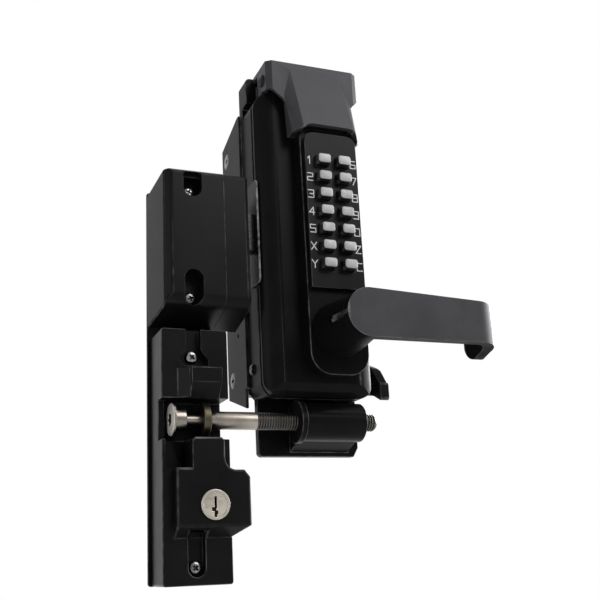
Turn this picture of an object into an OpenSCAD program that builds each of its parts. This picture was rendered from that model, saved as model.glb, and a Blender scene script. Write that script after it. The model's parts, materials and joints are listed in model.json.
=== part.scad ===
// Surface-mounted push-button gate lock: a lock case with keypad, rain hood and lever on the
// gate stile, and a strike box with a key-operated striker keeper on the post.
// X runs along the gate towards its hinges, Y into the gate, Z up. The origin is on the
// stile's front face, on its centre line, at the height of the latch bolt.

/* [Gate and post] */
// Width of the square gate stile that the lock is fixed to
stile_w = 50; // [40:1:60]
// Width of the square post that the keeper is fixed to
post_w = 50; // [40:1:60]
// Gap between post and stile
post_gap = 29; // [26:0.5:32]

/* [Lock case] */
// Width of the case
case_w = 87; // [82:1:92]
// Top of the case above the latch bolt
case_top = 116; // [110:1:122]
// Bottom of the case below the latch bolt
case_drop = 128; // [124:1:134]
// Thickness of the mounting base
base_t = 7; // [6:0.5:9]
// Depth of the rear case
rear_case_d = 20; // [18:0.5:23]
// Thickness of the rubber seal
seal_t = 3; // [2:0.5:4]
// Depth of the front case
front_case_d = 11; // [10:0.5:13]
// Radius of the front case's rounded sides
side_round = 20; // [18:0.5:22]
// Radius of the case's corners
corner_r = 12; // [8:0.5:14]
// Wall of the cast shells
wall = 3; // [2.5:0.25:3.5]

/* [Keypad] */
// Width of the keypad body
body_w = 47; // [46:0.5:49]
// Depth of the keypad body
body_d = 12.5; // [12:0.5:16]
// Top of the keypad body above the latch bolt
body_top = 81; // [79:0.5:83]
// Thickness of the raised keypad plate
plate_t = 5; // [4:0.5:6]
// Distance from the stile's centre line to the keypad's centre line
key_x = 28.5; // [28.5:0.25:30]
// Buttons in one column
rows = 7; // [5:1:7]
// Pitch of the button rows
row_pitch = 14; // [13:0.25:14]
// Pitch of the two button columns
column_pitch = 16.6; // [16:0.2:18]
// Button width at its foot
button_w = 11.6; // [10.5:0.1:12.5]
// Button height at its foot
button_h = 8.6; // [8:0.1:10]
// How far a button stands proud of the plate
button_proud = 7; // [5:0.5:9]
// Travel of a button
button_travel = 2.5; // [1.5:0.25:3]

/* [Lever] */
// Height of the spindle below the latch bolt
axis_drop = 81; // [80:0.5:86]
// Distance from the keypad plate to the lever's front face
lever_proud = 47.5; // [40:0.5:50]
// Radius of the lever's round end
lever_r = 17.6; // [16:0.2:19]
// Reach of the lever from its axis
lever_reach = 104; // [90:0.5:115]
// Thickness of the lever
lever_t = 8; // [6:0.5:9]
// Outer radius of the bend at the lever's tip
lever_bend = 16; // [14:0.5:20]
// Length of the lever's return towards the gate
lever_return = 38; // [28:1:42]
// Turn of the lever in degrees
lever_turn = 60; // [45:5:60]

/* [Latch] */
// Throw of the latch bolt from the case
latch_throw = 18; // [16:0.5:20]
// How far the lever draws the bolt back
latch_draw = 17; // [15:0.5:17.5]
// Thickness of the latch bolt
latch_t = 9; // [8:0.5:10]
// Height of the latch bolt
latch_h = 30; // [24:1:34]

/* [Striker] */
// Height of the striker below the latch bolt
striker_drop = 145.5; // [143:0.5:148]
// Distance of the striker's axis from the stile's face
striker_y = 30; // [28:0.5:32]
// Radius of the striker's shank
shank_r = 6.4; // [5:0.1:7]
// Radius of the striker's head
head_r = 11.5; // [10:0.25:12]
// Radius of the striker's neck
neck_r = 3.6; // [3:0.1:4.5]
// Radius of the striker's washer
washer_r = 12; // [11:0.25:12.5]

/* [Post unit] */
// Front of the strike box from the post's face
strike_d = 42; // [40:0.5:45]
// Front of the keeper body from the post's face
keeper_d = 36; // [35:0.5:38]
// Front of the key cover from the post's face
cover_d = 46; // [44:0.5:48]
// Radius of the key cylinder's rim
cylinder_r = 10.2; // [9.5:0.1:11]
// Lift of the locking slide for a quarter turn of the key
slide_lift = 21; // [18:0.5:21]

/* [Hidden] */
$fn = 48;
fit = 0.05;
gap = 0.3;
over = 1;

// Levels from the stile's face towards the user
y_base = -base_t;
y_rear = y_base - rear_case_d;
y_seal = y_rear - seal_t;
y_front = y_seal - front_case_d;
y_body = y_front - body_d;
y_plate = y_body - plate_t;
y_lever = y_plate - lever_proud;

// Case
case_l = -stile_w / 2;
case_r = case_l + case_w;
case_b = -case_drop;
hood_rise = 23.5;
top_block_d = 18;
foot_l = case_l + 4;
foot_r = case_r - 1.5;
foot_b = -striker_drop - 22.5;
bolt_inset = 10;
bolt_r = 2;
pillar_r = 4.5;
seal_inset = 2.5;
seal_w = 4;
bolt_x = [case_l + bolt_inset, case_r - bolt_inset];
bolt_z = [case_b + bolt_inset + 3, case_top - bolt_inset - 3];

// Side flange on the stile's flank
flange_t = 2.5;
flange_l = case_l - flange_t;
flange_screw_y = 30;
flange_screw_z = [86, -104];
flange_screw_r = 2.2;
flange_head_r = 6.4;
flange_reach = 41;
spare_hole = [13.5, -71];
spare_hole_r = 1.6;

// Keypad
body_b = -axis_drop - 33.5;
body_l = key_x - body_w / 2;
body_r = key_x + body_w / 2;
body_round = 9;
body_round_low = 17;
body_wall = 2.5;
plate_inset = 1.8;
plate_top = body_top - 5;
plate_b = -50;
first_row = plate_top - 24;
flange_h = 1.3;
stem_r = 3;
chamber_w = column_pitch / 2 + button_w / 2 + 2.9;
chamber_h = button_h / 2 + 3.2;
chamber_y = y_plate + plate_t + flange_h + button_travel + 0.7;
axis_z = -axis_drop;

// Lever, hub and spindle
y_back = y_lever + lever_t;
hub_r = 21.4;
spigot_r = 9;
spindle_w = 7;
spindle_neck_r = key_x - stile_w / 2 - gap;
lever_tip = key_x + lever_reach;
lever_end_h = 30;
stile_back = stile_w;
rose_t = 12;
y_rose = stile_back + rose_t;
inside_proud = 36;
y_inside = y_rose + inside_proud;
grub_r = 2.5;
grub_y = y_back + 18;
inside_grub_y = y_inside - 16;

// Latch
latch_y = y_seal + 0.4;
latch_front = latch_y;
latch_back = latch_y + latch_t;
latch_tip = case_l - 1.5 - latch_throw;
latch_tail = 8;
pin_r = 2.5;
pin_x = 4;
bar_lift = 15;
arm_r = 15;
nose_r = 3;
bar_t = 3.2;
bar_front = latch_front - 0.8 - bar_t;
bar_l = pin_x + 4.5;
bar_r = key_x - arm_r * cos(lever_turn / 2) - 0.5;
guide_r = latch_tail + latch_draw + 4;
guide_h = latch_h / 2 + 5;
spring_wire = 0.5;
spring_r = 2.5;
spring_turns = 8;
bar_top = 7;
spring_len = 32;
spring_x = pin_x + latch_draw / 2;
spring_y = y_seal - gap - spring_r - spring_wire;
seat_t = 3;
guide_l = case_l + seal_inset + seal_w + gap;
faceplate_t = 1.5;
faceplate_y = [y_seal - 7, y_rear + 12];
faceplate_h = 83;

// Striker
striker_z = -striker_drop;
head_l = -94.5;
head_t = 2.5;
head_len = 10.5;
head_body_r = 8.4;
washer_l = -72.5;
washer_t = 5.4;
taper = 5;
striker_end = 64;
boss_r = 14.3;
boss_l = 4;
boss_end = 51.5;
collar_l = -0.5;

// Post unit
post_r = case_l - post_gap;
post_l = post_r - post_w;
post_x = post_r - post_w / 2 + 0.8;
post_plate_t = 2.5;
yp = -post_plate_t;
strike_top = 40.5;
strike_b = -72.6;
strike_slope = 8;
seam_x = post_r;
mouth_r = case_l - 9.5;
y_strike = -strike_d;
strike_seat = y_strike + 14;
slot_r = 7;
upper_screw_z = [27, -56.5];
lower_screw_z = [-100.6, -245.6];
keeper_top = -81;
keeper_b = -257;
keeper_l = post_l + 2.3;
keeper_r = post_r + 1;
y_keeper = -keeper_d;
keeper_seat = y_keeper + 7;
channel_top = striker_z + 14.5;
channel_b = striker_z - 14;
channel_y = -striker_y + head_r + 3.5;
y_cover = -cover_d;
cover_l = -94;
cover_r = -41.8;
neck_l = -83;
neck_r_x = -59.5;
shoulder_l = -180;
shoulder_r = -181.5;
cover_b = -226;
cover_bevel = 7;
cover_floor = 4;
cover_back = yp - 3.5;
cover_wall = 2.5;
cyl_x = -67.7;
cyl_z = -205;
barrel_r = 9.4;
plug_r = 8.2;
crank_r = slide_lift / sqrt(2);
crank_pin_r = 2;
barrel_back = -22;
cam_t = 3;
slide_x = [-79.5, -73.5];
finger_y = [-striker_y - neck_r - 6.9, -striker_y - neck_r - 0.9];
leg_y = [barrel_back + cam_t + 1.5, barrel_back + cam_t + 4.5];
finger_top = channel_b - 2;
screw_r = 2.4;
screw_head_r = 4.8;
screw_head_h = 3;
small_head_r = 4.3;
small_head_h = 2.1;
small_bite = 8;
hood_head_r = 5;
screw_bite = 12;
thread_len = screw_bite - 0.5;
thread_step = 0.4;

graphite = [0.13, 0.13, 0.14];
charcoal = [0.22, 0.22, 0.23];
stainless = [0.78, 0.76, 0.73];
satin = [0.80, 0.80, 0.78];
rubber = [0.05, 0.05, 0.05];
bronze = [0.38, 0.33, 0.24];

// Extrusions along an axis: an outline in X and Z, in Y and Z, or in X and Y
module along_y(y0, y1) translate([0, y1, 0]) rotate([90, 0, 0]) linear_extrude(y1 - y0) children();
module along_x(x0, x1) translate([x0, 0, 0]) rotate([90, 0, 90]) linear_extrude(x1 - x0) children();
module along_z(z0, z1) translate([0, 0, z0]) linear_extrude(z1 - z0) children();

// Rectangle between two corners, with round corners of radius r
module pane(a0, a1, b0, b1, r = 0) {
  if (r <= 0) {
    translate([a0, b0]) square([a1 - a0, b1 - b0]);
  } else {
    translate([a0 + r, b0]) square([a1 - a0 - 2 * r, b1 - b0]);
    translate([a0, b0 + r]) square([a1 - a0, b1 - b0 - 2 * r]);
    for (a = [a0 + r, a1 - r], b = [b0 + r, b1 - r]) translate([a, b]) circle(r);
  }
}

module rod_y(x, z, y0, y1, r) translate([x, y0, z]) rotate([-90, 0, 0]) cylinder(h = y1 - y0, r = r);
module rod_x(y, z, x0, x1, r) translate([x0, y, z]) rotate([0, 90, 0]) cylinder(h = x1 - x0, r = r);
module cone_y(x, z, y0, y1, r0, r1) translate([x, y0, z]) rotate([-90, 0, 0]) cylinder(h = y1 - y0, r1 = r0, r2 = r1);
module cone_x(y, z, x0, x1, r0, r1) translate([x0, y, z]) rotate([0, 90, 0]) cylinder(h = x1 - x0, r1 = r0, r2 = r1);

// Pan-head screw with a cross recess. Its head rests on z = 0, its shank runs down, and the
// last bite of it is the threaded end, a little thinner
module pan_screw(r, head, head_h, len, bite = 0) {
  difference() {
    union() {
      cylinder(h = head_h * 0.55, r = head);
      translate([0, 0, head_h * 0.55]) cylinder(h = head_h * 0.45, r1 = head, r2 = head * 0.72);
    }
    for (a = [0, 90]) rotate([0, 0, a])
      translate([-head * 0.5, -head * 0.11, head_h * 0.45]) cube([head, head * 0.22, head_h]);
  }
  translate([0, 0, bite - len]) cylinder(h = len - bite, r = r);
  if (bite > 0) translate([0, 0, -len]) cylinder(h = bite, r = r - thread_step);
}

// Flush screw whose head fills a countersink below z = 0
module flush_screw(r, head, head_h, len, bite = 0) {
  difference() {
    translate([0, 0, -head_h]) cylinder(h = head_h, r1 = r, r2 = head);
    for (a = [0, 90]) rotate([0, 0, a])
      translate([-head * 0.5, -head * 0.11, -head_h * 0.45]) cube([head, head * 0.22, head_h]);
  }
  translate([0, 0, bite - len]) cylinder(h = len - head_h - bite, r = r);
  if (bite > 0) translate([0, 0, -len]) cylinder(h = bite, r = r - thread_step);
}

module facing_user(x, y, z) translate([x, y, z]) rotate([90, 0, 0]) children();
module facing_inside(x, y, z) translate([x, y, z]) rotate([-90, 0, 0]) children();
module facing_post(x, y, z) translate([x, y, z]) rotate([0, -90, 0]) children();
module facing_hinge(x, y, z) translate([x, y, z]) rotate([0, 90, 0]) children();

// Cast base behind the case: plate, flange on the stile's flank, block and lugs for the
// hood, lugs for the case screws, and the boss that carries the striker
lug_z = -103.5;
lug_y = y_base - 4.6;
lug_w = 9;
module mounting_base() {
  color(graphite) difference() {
    union() {
      along_y(y_base, 0) pane(case_l, case_r, case_b, case_top, corner_r);
      along_y(y_base, 0) polygon([[foot_l, case_b + corner_r], [foot_l, foot_b + 2], [foot_l + 2, foot_b],
        [foot_r - 4, foot_b], [foot_r, foot_b + 7], [foot_r, case_b + corner_r]]);
      along_y(-top_block_d, 0) {
        pane(case_l, case_r, case_top + 0.5, case_top + hood_rise, 4);
        pane(case_l + 8, case_r, case_top + 0.5, case_top + 8);
        pane(case_l, case_r, case_top + 0.5, case_top + 8);
      }
      along_y(y_base, 0) pane(case_l, case_r, case_top - corner_r, case_top + 8);
      along_x(flange_l, case_l) polygon([[-4, case_top - 4], [0, case_top - 4], [flange_reach, case_top - 16],
        [flange_reach, case_b + 10], [0, case_b - 3], [0, case_b + corner_r], [-4, case_b + corner_r]]);
      along_x(flange_l, case_l + 1) pane(-4, 0, case_b + 12, case_top - 12);
      for (x = [hood_l + hood_wall + gap, hood_r - hood_wall - gap - lug_w])
        along_y(hood_screw_y - 5, -top_block_d + over) pane(x, x + lug_w, hood_screw_z - 6, hood_screw_z + 6);
      for (x = [case_l + wall + gap, case_r - wall - gap - lug_w])
        along_y(lug_y - 5, y_base + over) pane(x, x + lug_w, lug_z - 3.2, lug_z + 5);
      rod_x(-striker_y, striker_z, boss_l, boss_end, boss_r);
      rod_x(-striker_y, striker_z, collar_l, boss_l, boss_r + 1.4);
      along_x(boss_l, boss_end) polygon([[-striker_y, striker_z + boss_r], [y_base + over, striker_z + boss_r],
        [y_base + over, foot_b + 3], [-striker_y + boss_r * 0.5, striker_z - boss_r * 0.86]]);
    }
    rod_x(-striker_y, striker_z, collar_l - over, boss_end + over, shank_r + fit);
    rod_y(key_x, axis_z, y_base - over, over, spigot_r - 2 + fit);
    for (x = bolt_x, z = bolt_z) {
      rod_y(x, z, y_base - over, over, bolt_r + 0.2);
      cone_y(x, z, -2.2, over, bolt_r + 0.2, 6);
    }
    for (z = flange_screw_z) {
      rod_x(flange_screw_y, z, flange_l - over, case_l + over, flange_screw_r + 0.2);
      cone_x(flange_screw_y, z, flange_l, case_l, flange_head_r + 0.3, flange_screw_r + 0.2);
    }
    rod_x(spare_hole[0], spare_hole[1], flange_l - over, case_l + over, spare_hole_r);
    for (x = [case_l, case_r - 14]) rod_x(lug_y, lug_z, x - over, x + 16, bolt_r + fit);
    for (x = [hood_l, hood_r - 14]) rod_x(hood_screw_y, hood_screw_z, x, x + 14, bolt_r + fit);
    for (x = through_x, z = through_z) rod_y(x, z, y_base - over, over, 2.5 + 0.2);
  }
}

through_x = [case_l + 15, key_x + 12];
through_z = [40, -60];

module case_outline(m, r) pane(case_l + m, case_r - m, case_b + m, case_top - m, r);

module rear_case() {
  color(graphite) difference() {
    union() {
      along_y(y_rear, y_base) difference() {
        case_outline(0, corner_r);
        case_outline(wall, corner_r - wall);
      }
      for (x = bolt_x, z = bolt_z) intersection() {
        rod_y(x, z, y_rear, y_base, pillar_r + 3.5);
        along_y(y_rear, y_base) case_outline(0, corner_r);
      }
    }
    for (x = bolt_x, z = bolt_z) rod_y(x, z, y_rear - over, y_base + over, bolt_r + 0.2);
    along_x(case_l - over, case_l + wall + over)
      pane(y_rear - over, latch_back + 0.2, -latch_h / 2 - 0.2, latch_h / 2 + 0.2);
    for (x = [case_l - over, case_r - wall - over])
      rod_x(lug_y, lug_z, x, x + wall + 2 * over, bolt_r + 0.2);
  }
}

module case_seal() {
  color(rubber) difference() {
    along_y(y_seal, y_rear) difference() {
      case_outline(seal_inset, corner_r - seal_inset);
      case_outline(seal_inset + seal_w, corner_r - seal_inset - seal_w);
    }
    along_x(case_l - over, case_l + 2 * (seal_inset + seal_w))
      pane(y_seal - over, y_rear + over, -latch_h / 2 - 0.2, latch_h / 2 + 0.2);
  }
}

// Cross-section of the front case, with its sides rounded on a wide radius
side_run = side_round * 0.8;
module front_section() {
  intersection() {
    translate([case_l, y_front]) square([case_w, -y_front + y_seal]);
    union() {
      translate([case_l + side_run, y_front]) square([case_w - 2 * side_run, front_case_d]);
      for (x = [case_l + side_run, case_r - side_run]) translate([x, y_front + side_round]) circle(side_round);
    }
  }
}

module front_case() {
  color(graphite) difference() {
    intersection() {
      along_z(case_b, case_top) front_section();
      along_y(y_front, y_seal) case_outline(0, corner_r);
      along_x(case_l - over, case_r + over) polygon([[y_seal + over, case_top + over], [y_front, case_top + over],
        [y_front, case_b + 10], [y_front + 3, case_b + 4], [y_front + 7.5, case_b], [y_seal + over, case_b]]);
    }
    difference() {
      union() {
        along_y(y_front + 6.5, y_seal + over) case_outline(6, corner_r - 6);
        along_y(y_front + wall, y_seal + over) case_outline(side_run, 2);
      }
      for (x = bolt_x, z = bolt_z) rod_y(x, z, y_front, y_seal + over, pillar_r);
    }
    for (x = bolt_x, z = bolt_z) rod_y(x, z, y_front + 4, y_seal + over, bolt_r + 0.1);
    rod_y(key_x, axis_z, y_front - over, y_seal + over, spigot_r + 1);
  }
}

// Hood: a cap over the top of the case and a visor that leans forward over the keypad
hood_wall = 2.5;
hood_h = 34;
hood_l = case_l + 6.5;
hood_r = case_r - 2;
hood_top = case_top + hood_rise - 0.5;
hood_back = -top_block_d - 0.3;
hood_front = y_front - 9;
hood_side_back = hood_back - 10;
hood_screw_y = y_front + 2.5;
hood_screw_z = case_top + 10;
visor_out = y_plate - 4.5;
visor_b = [plate_top + 2, plate_top - 3];
visor_low = plate_top - 13;
visor_arch = plate_top + 5.5;
module hood_plan(m, back) {
  polygon([[hood_l + m, back], [hood_l + m, hood_front + 3.2 + 0.4 * m], [hood_l + 4.5 + 0.5 * m, hood_front + m],
    [hood_r - 4.5 - 0.5 * m, hood_front + m], [hood_r - m, hood_front + 3.2 + 0.4 * m], [hood_r - m, back]]);
}

// Closed form of the visor, drawn in by m. Its lower end drops so that the inside stays open
module visor(m, drop) {
  e = 1;
  ends = [body_l - 0.8 + m + e, body_r - 1.8 - m - e];
  skirt = [body_l - 6 + m + e, body_r + 3 - m - e];
  brow = [body_l - 4.4 + m + e, body_r - 7.6 - m - e];
  cheek = [body_l - 10 + m + e, body_r + 1 - m - e];
  points = [
    [brow[0], hood_front + e + m, hood_top - 5.5 - m], [brow[1], hood_front + e + m, hood_top - 5 - m],
    [cheek[0], hood_front + e + m, hood_top - 28], [cheek[1], hood_front + e + m, hood_top - 30],
    [ends[0], visor_out + e + m, visor_b[0] - drop], [ends[1], visor_out + e + m, visor_b[1] - drop],
    [skirt[0], y_body + m, visor_b[0] - drop], [skirt[1], y_body + m, visor_b[1] - drop],
    [brow[0], y_front - 3, hood_top - 5.5 - m], [brow[1], y_front - 3, hood_top - 5 - m],
    [skirt[0], y_front - 2, visor_b[0] - drop], [skirt[1], y_front - 2, visor_b[1] - drop]];
  hull() for (p = points) translate(p) sphere(e, $fn = 12);
}

module rain_hood() {
  color(charcoal) difference() {
    union() {
      along_z(hood_top - hood_h, hood_top) hood_plan(0, hood_back);
      visor(0, 0);
    }
    along_z(hood_top - hood_h - over, hood_top - hood_wall) hood_plan(hood_wall, hood_back + over);
    visor(hood_wall, 12);
    along_x(hood_l - over, hood_r + over) polygon([[over, visor_low], [over, case_top + 0.5],
      [y_front - 0.4, case_top + 0.5], [y_front - 0.4, visor_low]]);
    for (x = [hood_l - over, hood_r - hood_wall - 0.1])
      along_x(x, x + hood_wall + over + 0.1)
        pane(hood_side_back, hood_back + over, case_top, hood_top - hood_wall - 1);
    for (side = [-1, 1]) cut_wing(side);
    along_y(y_body - gap, y_front + over) body_outline(-gap);
    along_y(visor_out - 2 * over, y_front)
      pane(body_l - 0.8, body_r + 0.8, visor_low - body_round, visor_arch, body_round + 1);
    for (x = [hood_l - over, hood_r - hood_wall - 0.1])
      rod_x(hood_screw_y, hood_screw_z, x, x + hood_wall + over + 0.1, bolt_r + 0.2);
  }
}

// Each wing's lower edge rises from the visor towards the side
module cut_wing(side) {
  inner = side < 0 ? body_l - 10 : body_r + 1;
  corner = side < 0 ? hood_l + 3.5 : hood_r - 1;
  outer = side < 0 ? hood_l - over : hood_r + over;
  along_y(hood_front - over, y_front + 20) polygon([[inner, case_top - 20], [inner, case_top - 9.5],
    [corner, case_top - 1.5], [outer, case_top - 1.5], [outer, case_top - 20]]);
}

module body_outline(m) {
  mid = (body_top + body_b) / 2;
  pane(body_l + m, body_r - m, mid - 20, body_top - m, body_round - m);
  pane(body_l + m, body_r - m, body_b + m, mid + 20, body_round_low - m);
}

module keypad_body() {
  color(graphite) difference() {
    along_y(y_body, y_front) body_outline(0);
    along_y(y_body + body_wall, y_front + over) intersection() {
      body_outline(body_wall);
      pane(body_l, body_r, axis_z + 26, body_top);
    }
    along_y(y_body - over, y_front) pane(key_x - chamber_w - 0.5, key_x + chamber_w + 0.5,
      button_z(rows - 1) - chamber_h - 0.5, first_row + chamber_h + 0.5, 2);
    rod_y(key_x, axis_z, y_body - over, y_front + over, spigot_r + fit);
  }
}

function button_z(row) = first_row - row * row_pitch;
function button_x(i) = key_x + (i < 7 ? -0.5 : 0.5) * column_pitch;
function button_row(i) = i % 7;

module plate_outline() {
  mid = (plate_top + plate_b) / 2;
  pane(body_l + plate_inset, body_r - plate_inset, plate_b, mid + 1, 1);
  pane(body_l + plate_inset, body_r - plate_inset, mid - 1, plate_top - 12);
  pane(body_l + plate_inset, body_r - plate_inset, mid - 1, plate_top, body_round - 1);
}

module keypad_plate() {
  color(graphite) difference() {
    along_y(y_plate, y_body) plate_outline();
    for (i = [0 : 13]) if (button_row(i) < rows)
      along_y(y_plate - over, y_body + over)
        translate([button_x(i), button_z(button_row(i))])
          pane(-button_w / 2 - 0.3, button_w / 2 + 0.3, -button_h / 2 - 0.3, button_h / 2 + 0.3, 2.3);
  }
}

module button_chamber() {
  color(stainless) difference() {
    along_y(chamber_y, y_front)
      pane(key_x - chamber_w, key_x + chamber_w, button_z(rows - 1) - chamber_h, first_row + chamber_h);
    for (i = [0 : 13]) if (button_row(i) < rows)
      rod_y(button_x(i), button_z(button_row(i)), chamber_y - over, y_front + over, stem_r + fit);
  }
}

module button(i) {
  if (button_row(i) < rows) color(satin) translate([button_x(i), 0, button_z(button_row(i))]) {
    hull() {
      along_y(y_plate - 0.2, y_plate) pane(-button_w / 2, button_w / 2, -button_h / 2, button_h / 2, 2, $fn = 24);
      along_y(y_plate - button_proud, y_plate - button_proud + 0.6)
        pane(-button_w / 2 + 0.7, button_w / 2 - 0.7, -button_h / 2 + 0.7, button_h / 2 - 0.7, 2.2, $fn = 24);
    }
    along_y(y_plate - 0.1, y_body + 0.2) pane(-button_w / 2, button_w / 2, -button_h / 2, button_h / 2, 2);
    along_y(y_body + 0.2, y_body + flange_h) pane(-button_w / 2 - 0.8, button_w / 2 + 0.8,
      -button_h / 2 - 0.8, button_h / 2 + 0.8, 2);
    rod_y(0, 0, y_body + flange_h - 0.1, y_front - button_travel - 0.5, stem_r);
  }
}

// Lever bar seen from above: straight, a round bend and a return towards the gate
module lever_plan(front, back, tip, return_y) {
  s = sign(back - front);
  a = min(front, back);
  translate([key_x - lever_r, a]) square([tip - lever_bend - key_x + lever_r, lever_t]);
  intersection() {
    translate([tip - lever_bend, front + s * lever_bend]) difference() {
      circle(lever_bend);
      circle(lever_bend - lever_t);
    }
    translate([tip - lever_bend, min(front, front + s * lever_bend)]) square([lever_bend, lever_bend]);
  }
  translate([tip - lever_t, min(front + s * lever_bend, return_y)])
    square([lever_t, abs(return_y - front - s * lever_bend)]);
}

// Lever bar seen from the front, round about its axis and a little slimmer at its tip
module lever_face(drop) {
  translate([key_x, axis_z]) circle(lever_r);
  translate([key_x, axis_z]) polygon([[0, lever_r], [lever_reach - 8, lever_end_h - lever_r + 0.6],
    [lever_reach, lever_end_h - lever_r - 4], [lever_reach, -lever_r - drop], [lever_reach - lever_t, -lever_r - drop],
    [lever_reach - lever_t, -lever_r], [0, -lever_r]]);
}

// Bar and return seen from the side: the return sinks by drop towards its end, which is
// end_h high with corners of radius end_r
module lever_side(front, return_y, drop, end_h, end_r) {
  s = sign(return_y - front);
  bottom = axis_z - lever_r;
  top = bottom + lever_end_h;
  end_b = bottom - drop;
  pane(min(front, front + s * lever_t), max(front, front + s * lever_t), axis_z - 2 * lever_r, axis_z + 2 * lever_r);
  polygon([[front + s * lever_t, bottom], [front, bottom], [front, top], [front + s * lever_t, top],
    [return_y - s * end_r, end_b + end_h], [return_y - s * end_r, end_b]]);
  turn_y = return_y - 2 * s * end_r;
  pane(min(return_y, turn_y), max(return_y, turn_y), end_b, end_b + end_h, end_r);
}

module lever_bar(front, back, return_y, drop, end_h, end_r) {
  intersection() {
    along_z(axis_z - 2 * lever_r, axis_z + 2 * lever_r) lever_plan(front, back, lever_tip, return_y);
    along_y(min(front, return_y) - over, max(front, return_y) + over) lever_face(drop);
    along_x(key_x - lever_r - over, lever_tip + over) lever_side(front, return_y, drop, end_h, end_r);
  }
}

module lever_handle() {
  color(charcoal) difference() {
    union() {
      lever_bar(y_lever, y_back, y_lever + lever_return, 6, 24, 12);
      cone_y(key_x, axis_z, y_back - over, y_body - gap, lever_r - 1, hub_r);
      rod_y(key_x, axis_z, y_body - gap - over, y_body + body_wall, spigot_r);
    }
    along_y(y_back + 5, y_body + body_wall + over) spindle_square(0.1);
    rod_x(grub_y, axis_z, key_x - hub_r - over, key_x, grub_r + fit);
  }
}

module spindle_square(m) translate([key_x, axis_z]) square(spindle_w + 2 * m, center = true);

module lever_grub_screw() {
  color(stainless) difference() {
    rod_x(grub_y, axis_z, key_x - lever_r + 0.4, key_x - spindle_w / 2 - 0.1, grub_r);
    rod_x(grub_y, axis_z, key_x - lever_r - over, key_x - lever_r + 3, 1.3, $fn = 6);
  }
}

module spindle() {
  color(stainless) {
    along_y(y_back + 5.2, y_base + 0.5) spindle_square(0);
    rod_y(key_x, axis_z, y_base + 0.4, stile_back + 1, spindle_neck_r);
    along_y(stile_back + 0.9, y_inside - 9) spindle_square(0);
  }
}

module follower() {
  color(stainless) difference() {
    union() {
      rod_y(key_x, axis_z, bar_front, y_base - gap, spigot_r);
      rod_y(key_x, axis_z, y_base - gap - over, y_base + 4, spigot_r - 2);
      translate([key_x, 0, axis_z]) rotate([0, -lever_turn / 2, 0]) {
        along_y(bar_front, bar_front + bar_t) {
          translate([-arm_r, 0]) circle(nose_r);
          translate([-arm_r, -nose_r]) square([arm_r, 2 * nose_r]);
        }
      }
    }
    along_y(bar_front - over, y_base + 5) spindle_square(0.1);
  }
}

// Flat bar that the follower lifts. Its slanted slot draws the latch bolt by its pin
module draw_bar() {
  slot_len = norm([latch_draw, bar_lift]);
  slope = atan2(-bar_lift, latch_draw);
  color(stainless) along_y(bar_front, bar_front + bar_t) difference() {
    union() {
      pane(pin_x - 6.5, pin_x + latch_draw + 6.5, -bar_lift - bar_top, bar_top, 3);
      translate([bar_l, nose_tip]) square([bar_r - bar_l, -nose_tip - bar_lift]);
    }
    translate([pin_x, 0]) rotate(slope) {
      translate([0, -pin_r - 0.15]) square([slot_len, 2 * pin_r + 0.3]);
      circle(pin_r + 0.15);
      translate([slot_len, 0]) circle(pin_r + 0.15);
    }
  }
}

nose_tip = axis_z - arm_r * sin(lever_turn / 2) + nose_r + gap;

module latch_guide() {
  seat_z = bar_top + spring_len;
  color(stainless) {
    difference() {
      along_x(guide_l, guide_r + wall) pane(y_seal, y_base, -guide_h, guide_h);
      along_x(case_l, guide_r) pane(y_seal - over, latch_back + 0.2, -latch_h / 2 - 0.2, latch_h / 2 + 0.2);
    }
    along_x(spring_x - 5, spring_x + 5) {
      pane(y_seal, y_seal + seat_t, guide_h - over, seat_z + seat_t);
      pane(spring_y - spring_r - 1, y_seal + seat_t, seat_z, seat_z + seat_t);
    }
  }
}

// Latch bolt: flat towards the user, bevelled on the gate's closing side
module latch_bolt() {
  nose = 1.6;
  bevel = latch_throw - 5;
  color(stainless) {
    along_z(-latch_h / 2, latch_h / 2) polygon([[latch_tip, latch_front], [latch_tail, latch_front],
      [latch_tail, latch_back], [latch_tip + bevel, latch_back], [latch_tip, latch_front + nose]]);
    rod_y(pin_x, 0, bar_front - 0.5, latch_front + over, pin_r);
  }
}

// Round wire wound about a vertical line, as one tube of equal rings
module coil(x, y, z0, z1, r, wire, turns) {
  sides = 6;
  steps = turns * 8;
  rings = [for (i = [0 : steps]) let (a = 360 * turns * i / steps, z = z0 + (z1 - z0) * i / steps)
    [for (k = [0 : sides - 1]) let (b = 360 * k / sides, d = r + wire * cos(b))
      [x + d * cos(a), y + d * sin(a), z + wire * sin(b)]]];
  points = [for (ring = rings) for (p = ring) p];
  faces = concat(
    [[for (k = [0 : sides - 1]) k]],
    [for (i = [0 : steps - 1]) for (k = [0 : sides - 1]) let (
        n = (k + 1) % sides, a = i * sides, b = (i + 1) * sides)
      each [[a + k, b + n, a + n], [a + k, b + k, b + n]]],
    [[for (k = [0 : sides - 1]) steps * sides + sides - 1 - k]]);
  polyhedron(points, faces);
  echo(least_gap_in_spring = (z1 - z0) / turns - 2 * wire);
}

module return_spring() {
  color(stainless) coil(spring_x, spring_y, bar_top + spring_wire + 0.1,
    bar_top + spring_len - spring_wire - 0.1, spring_r, spring_wire, spring_turns);
}

module latch_faceplate() {
  color(stainless) difference() {
    along_x(case_l - faceplate_t, case_l)
      pane(faceplate_y[0], faceplate_y[1], -faceplate_h / 2, faceplate_h / 2, 4);
    along_x(case_l - faceplate_t - over, case_l + over)
      pane(latch_front - 0.3, latch_back + 0.3, -latch_h / 2 - 0.3, latch_h / 2 + 0.3);
  }
}

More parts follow.
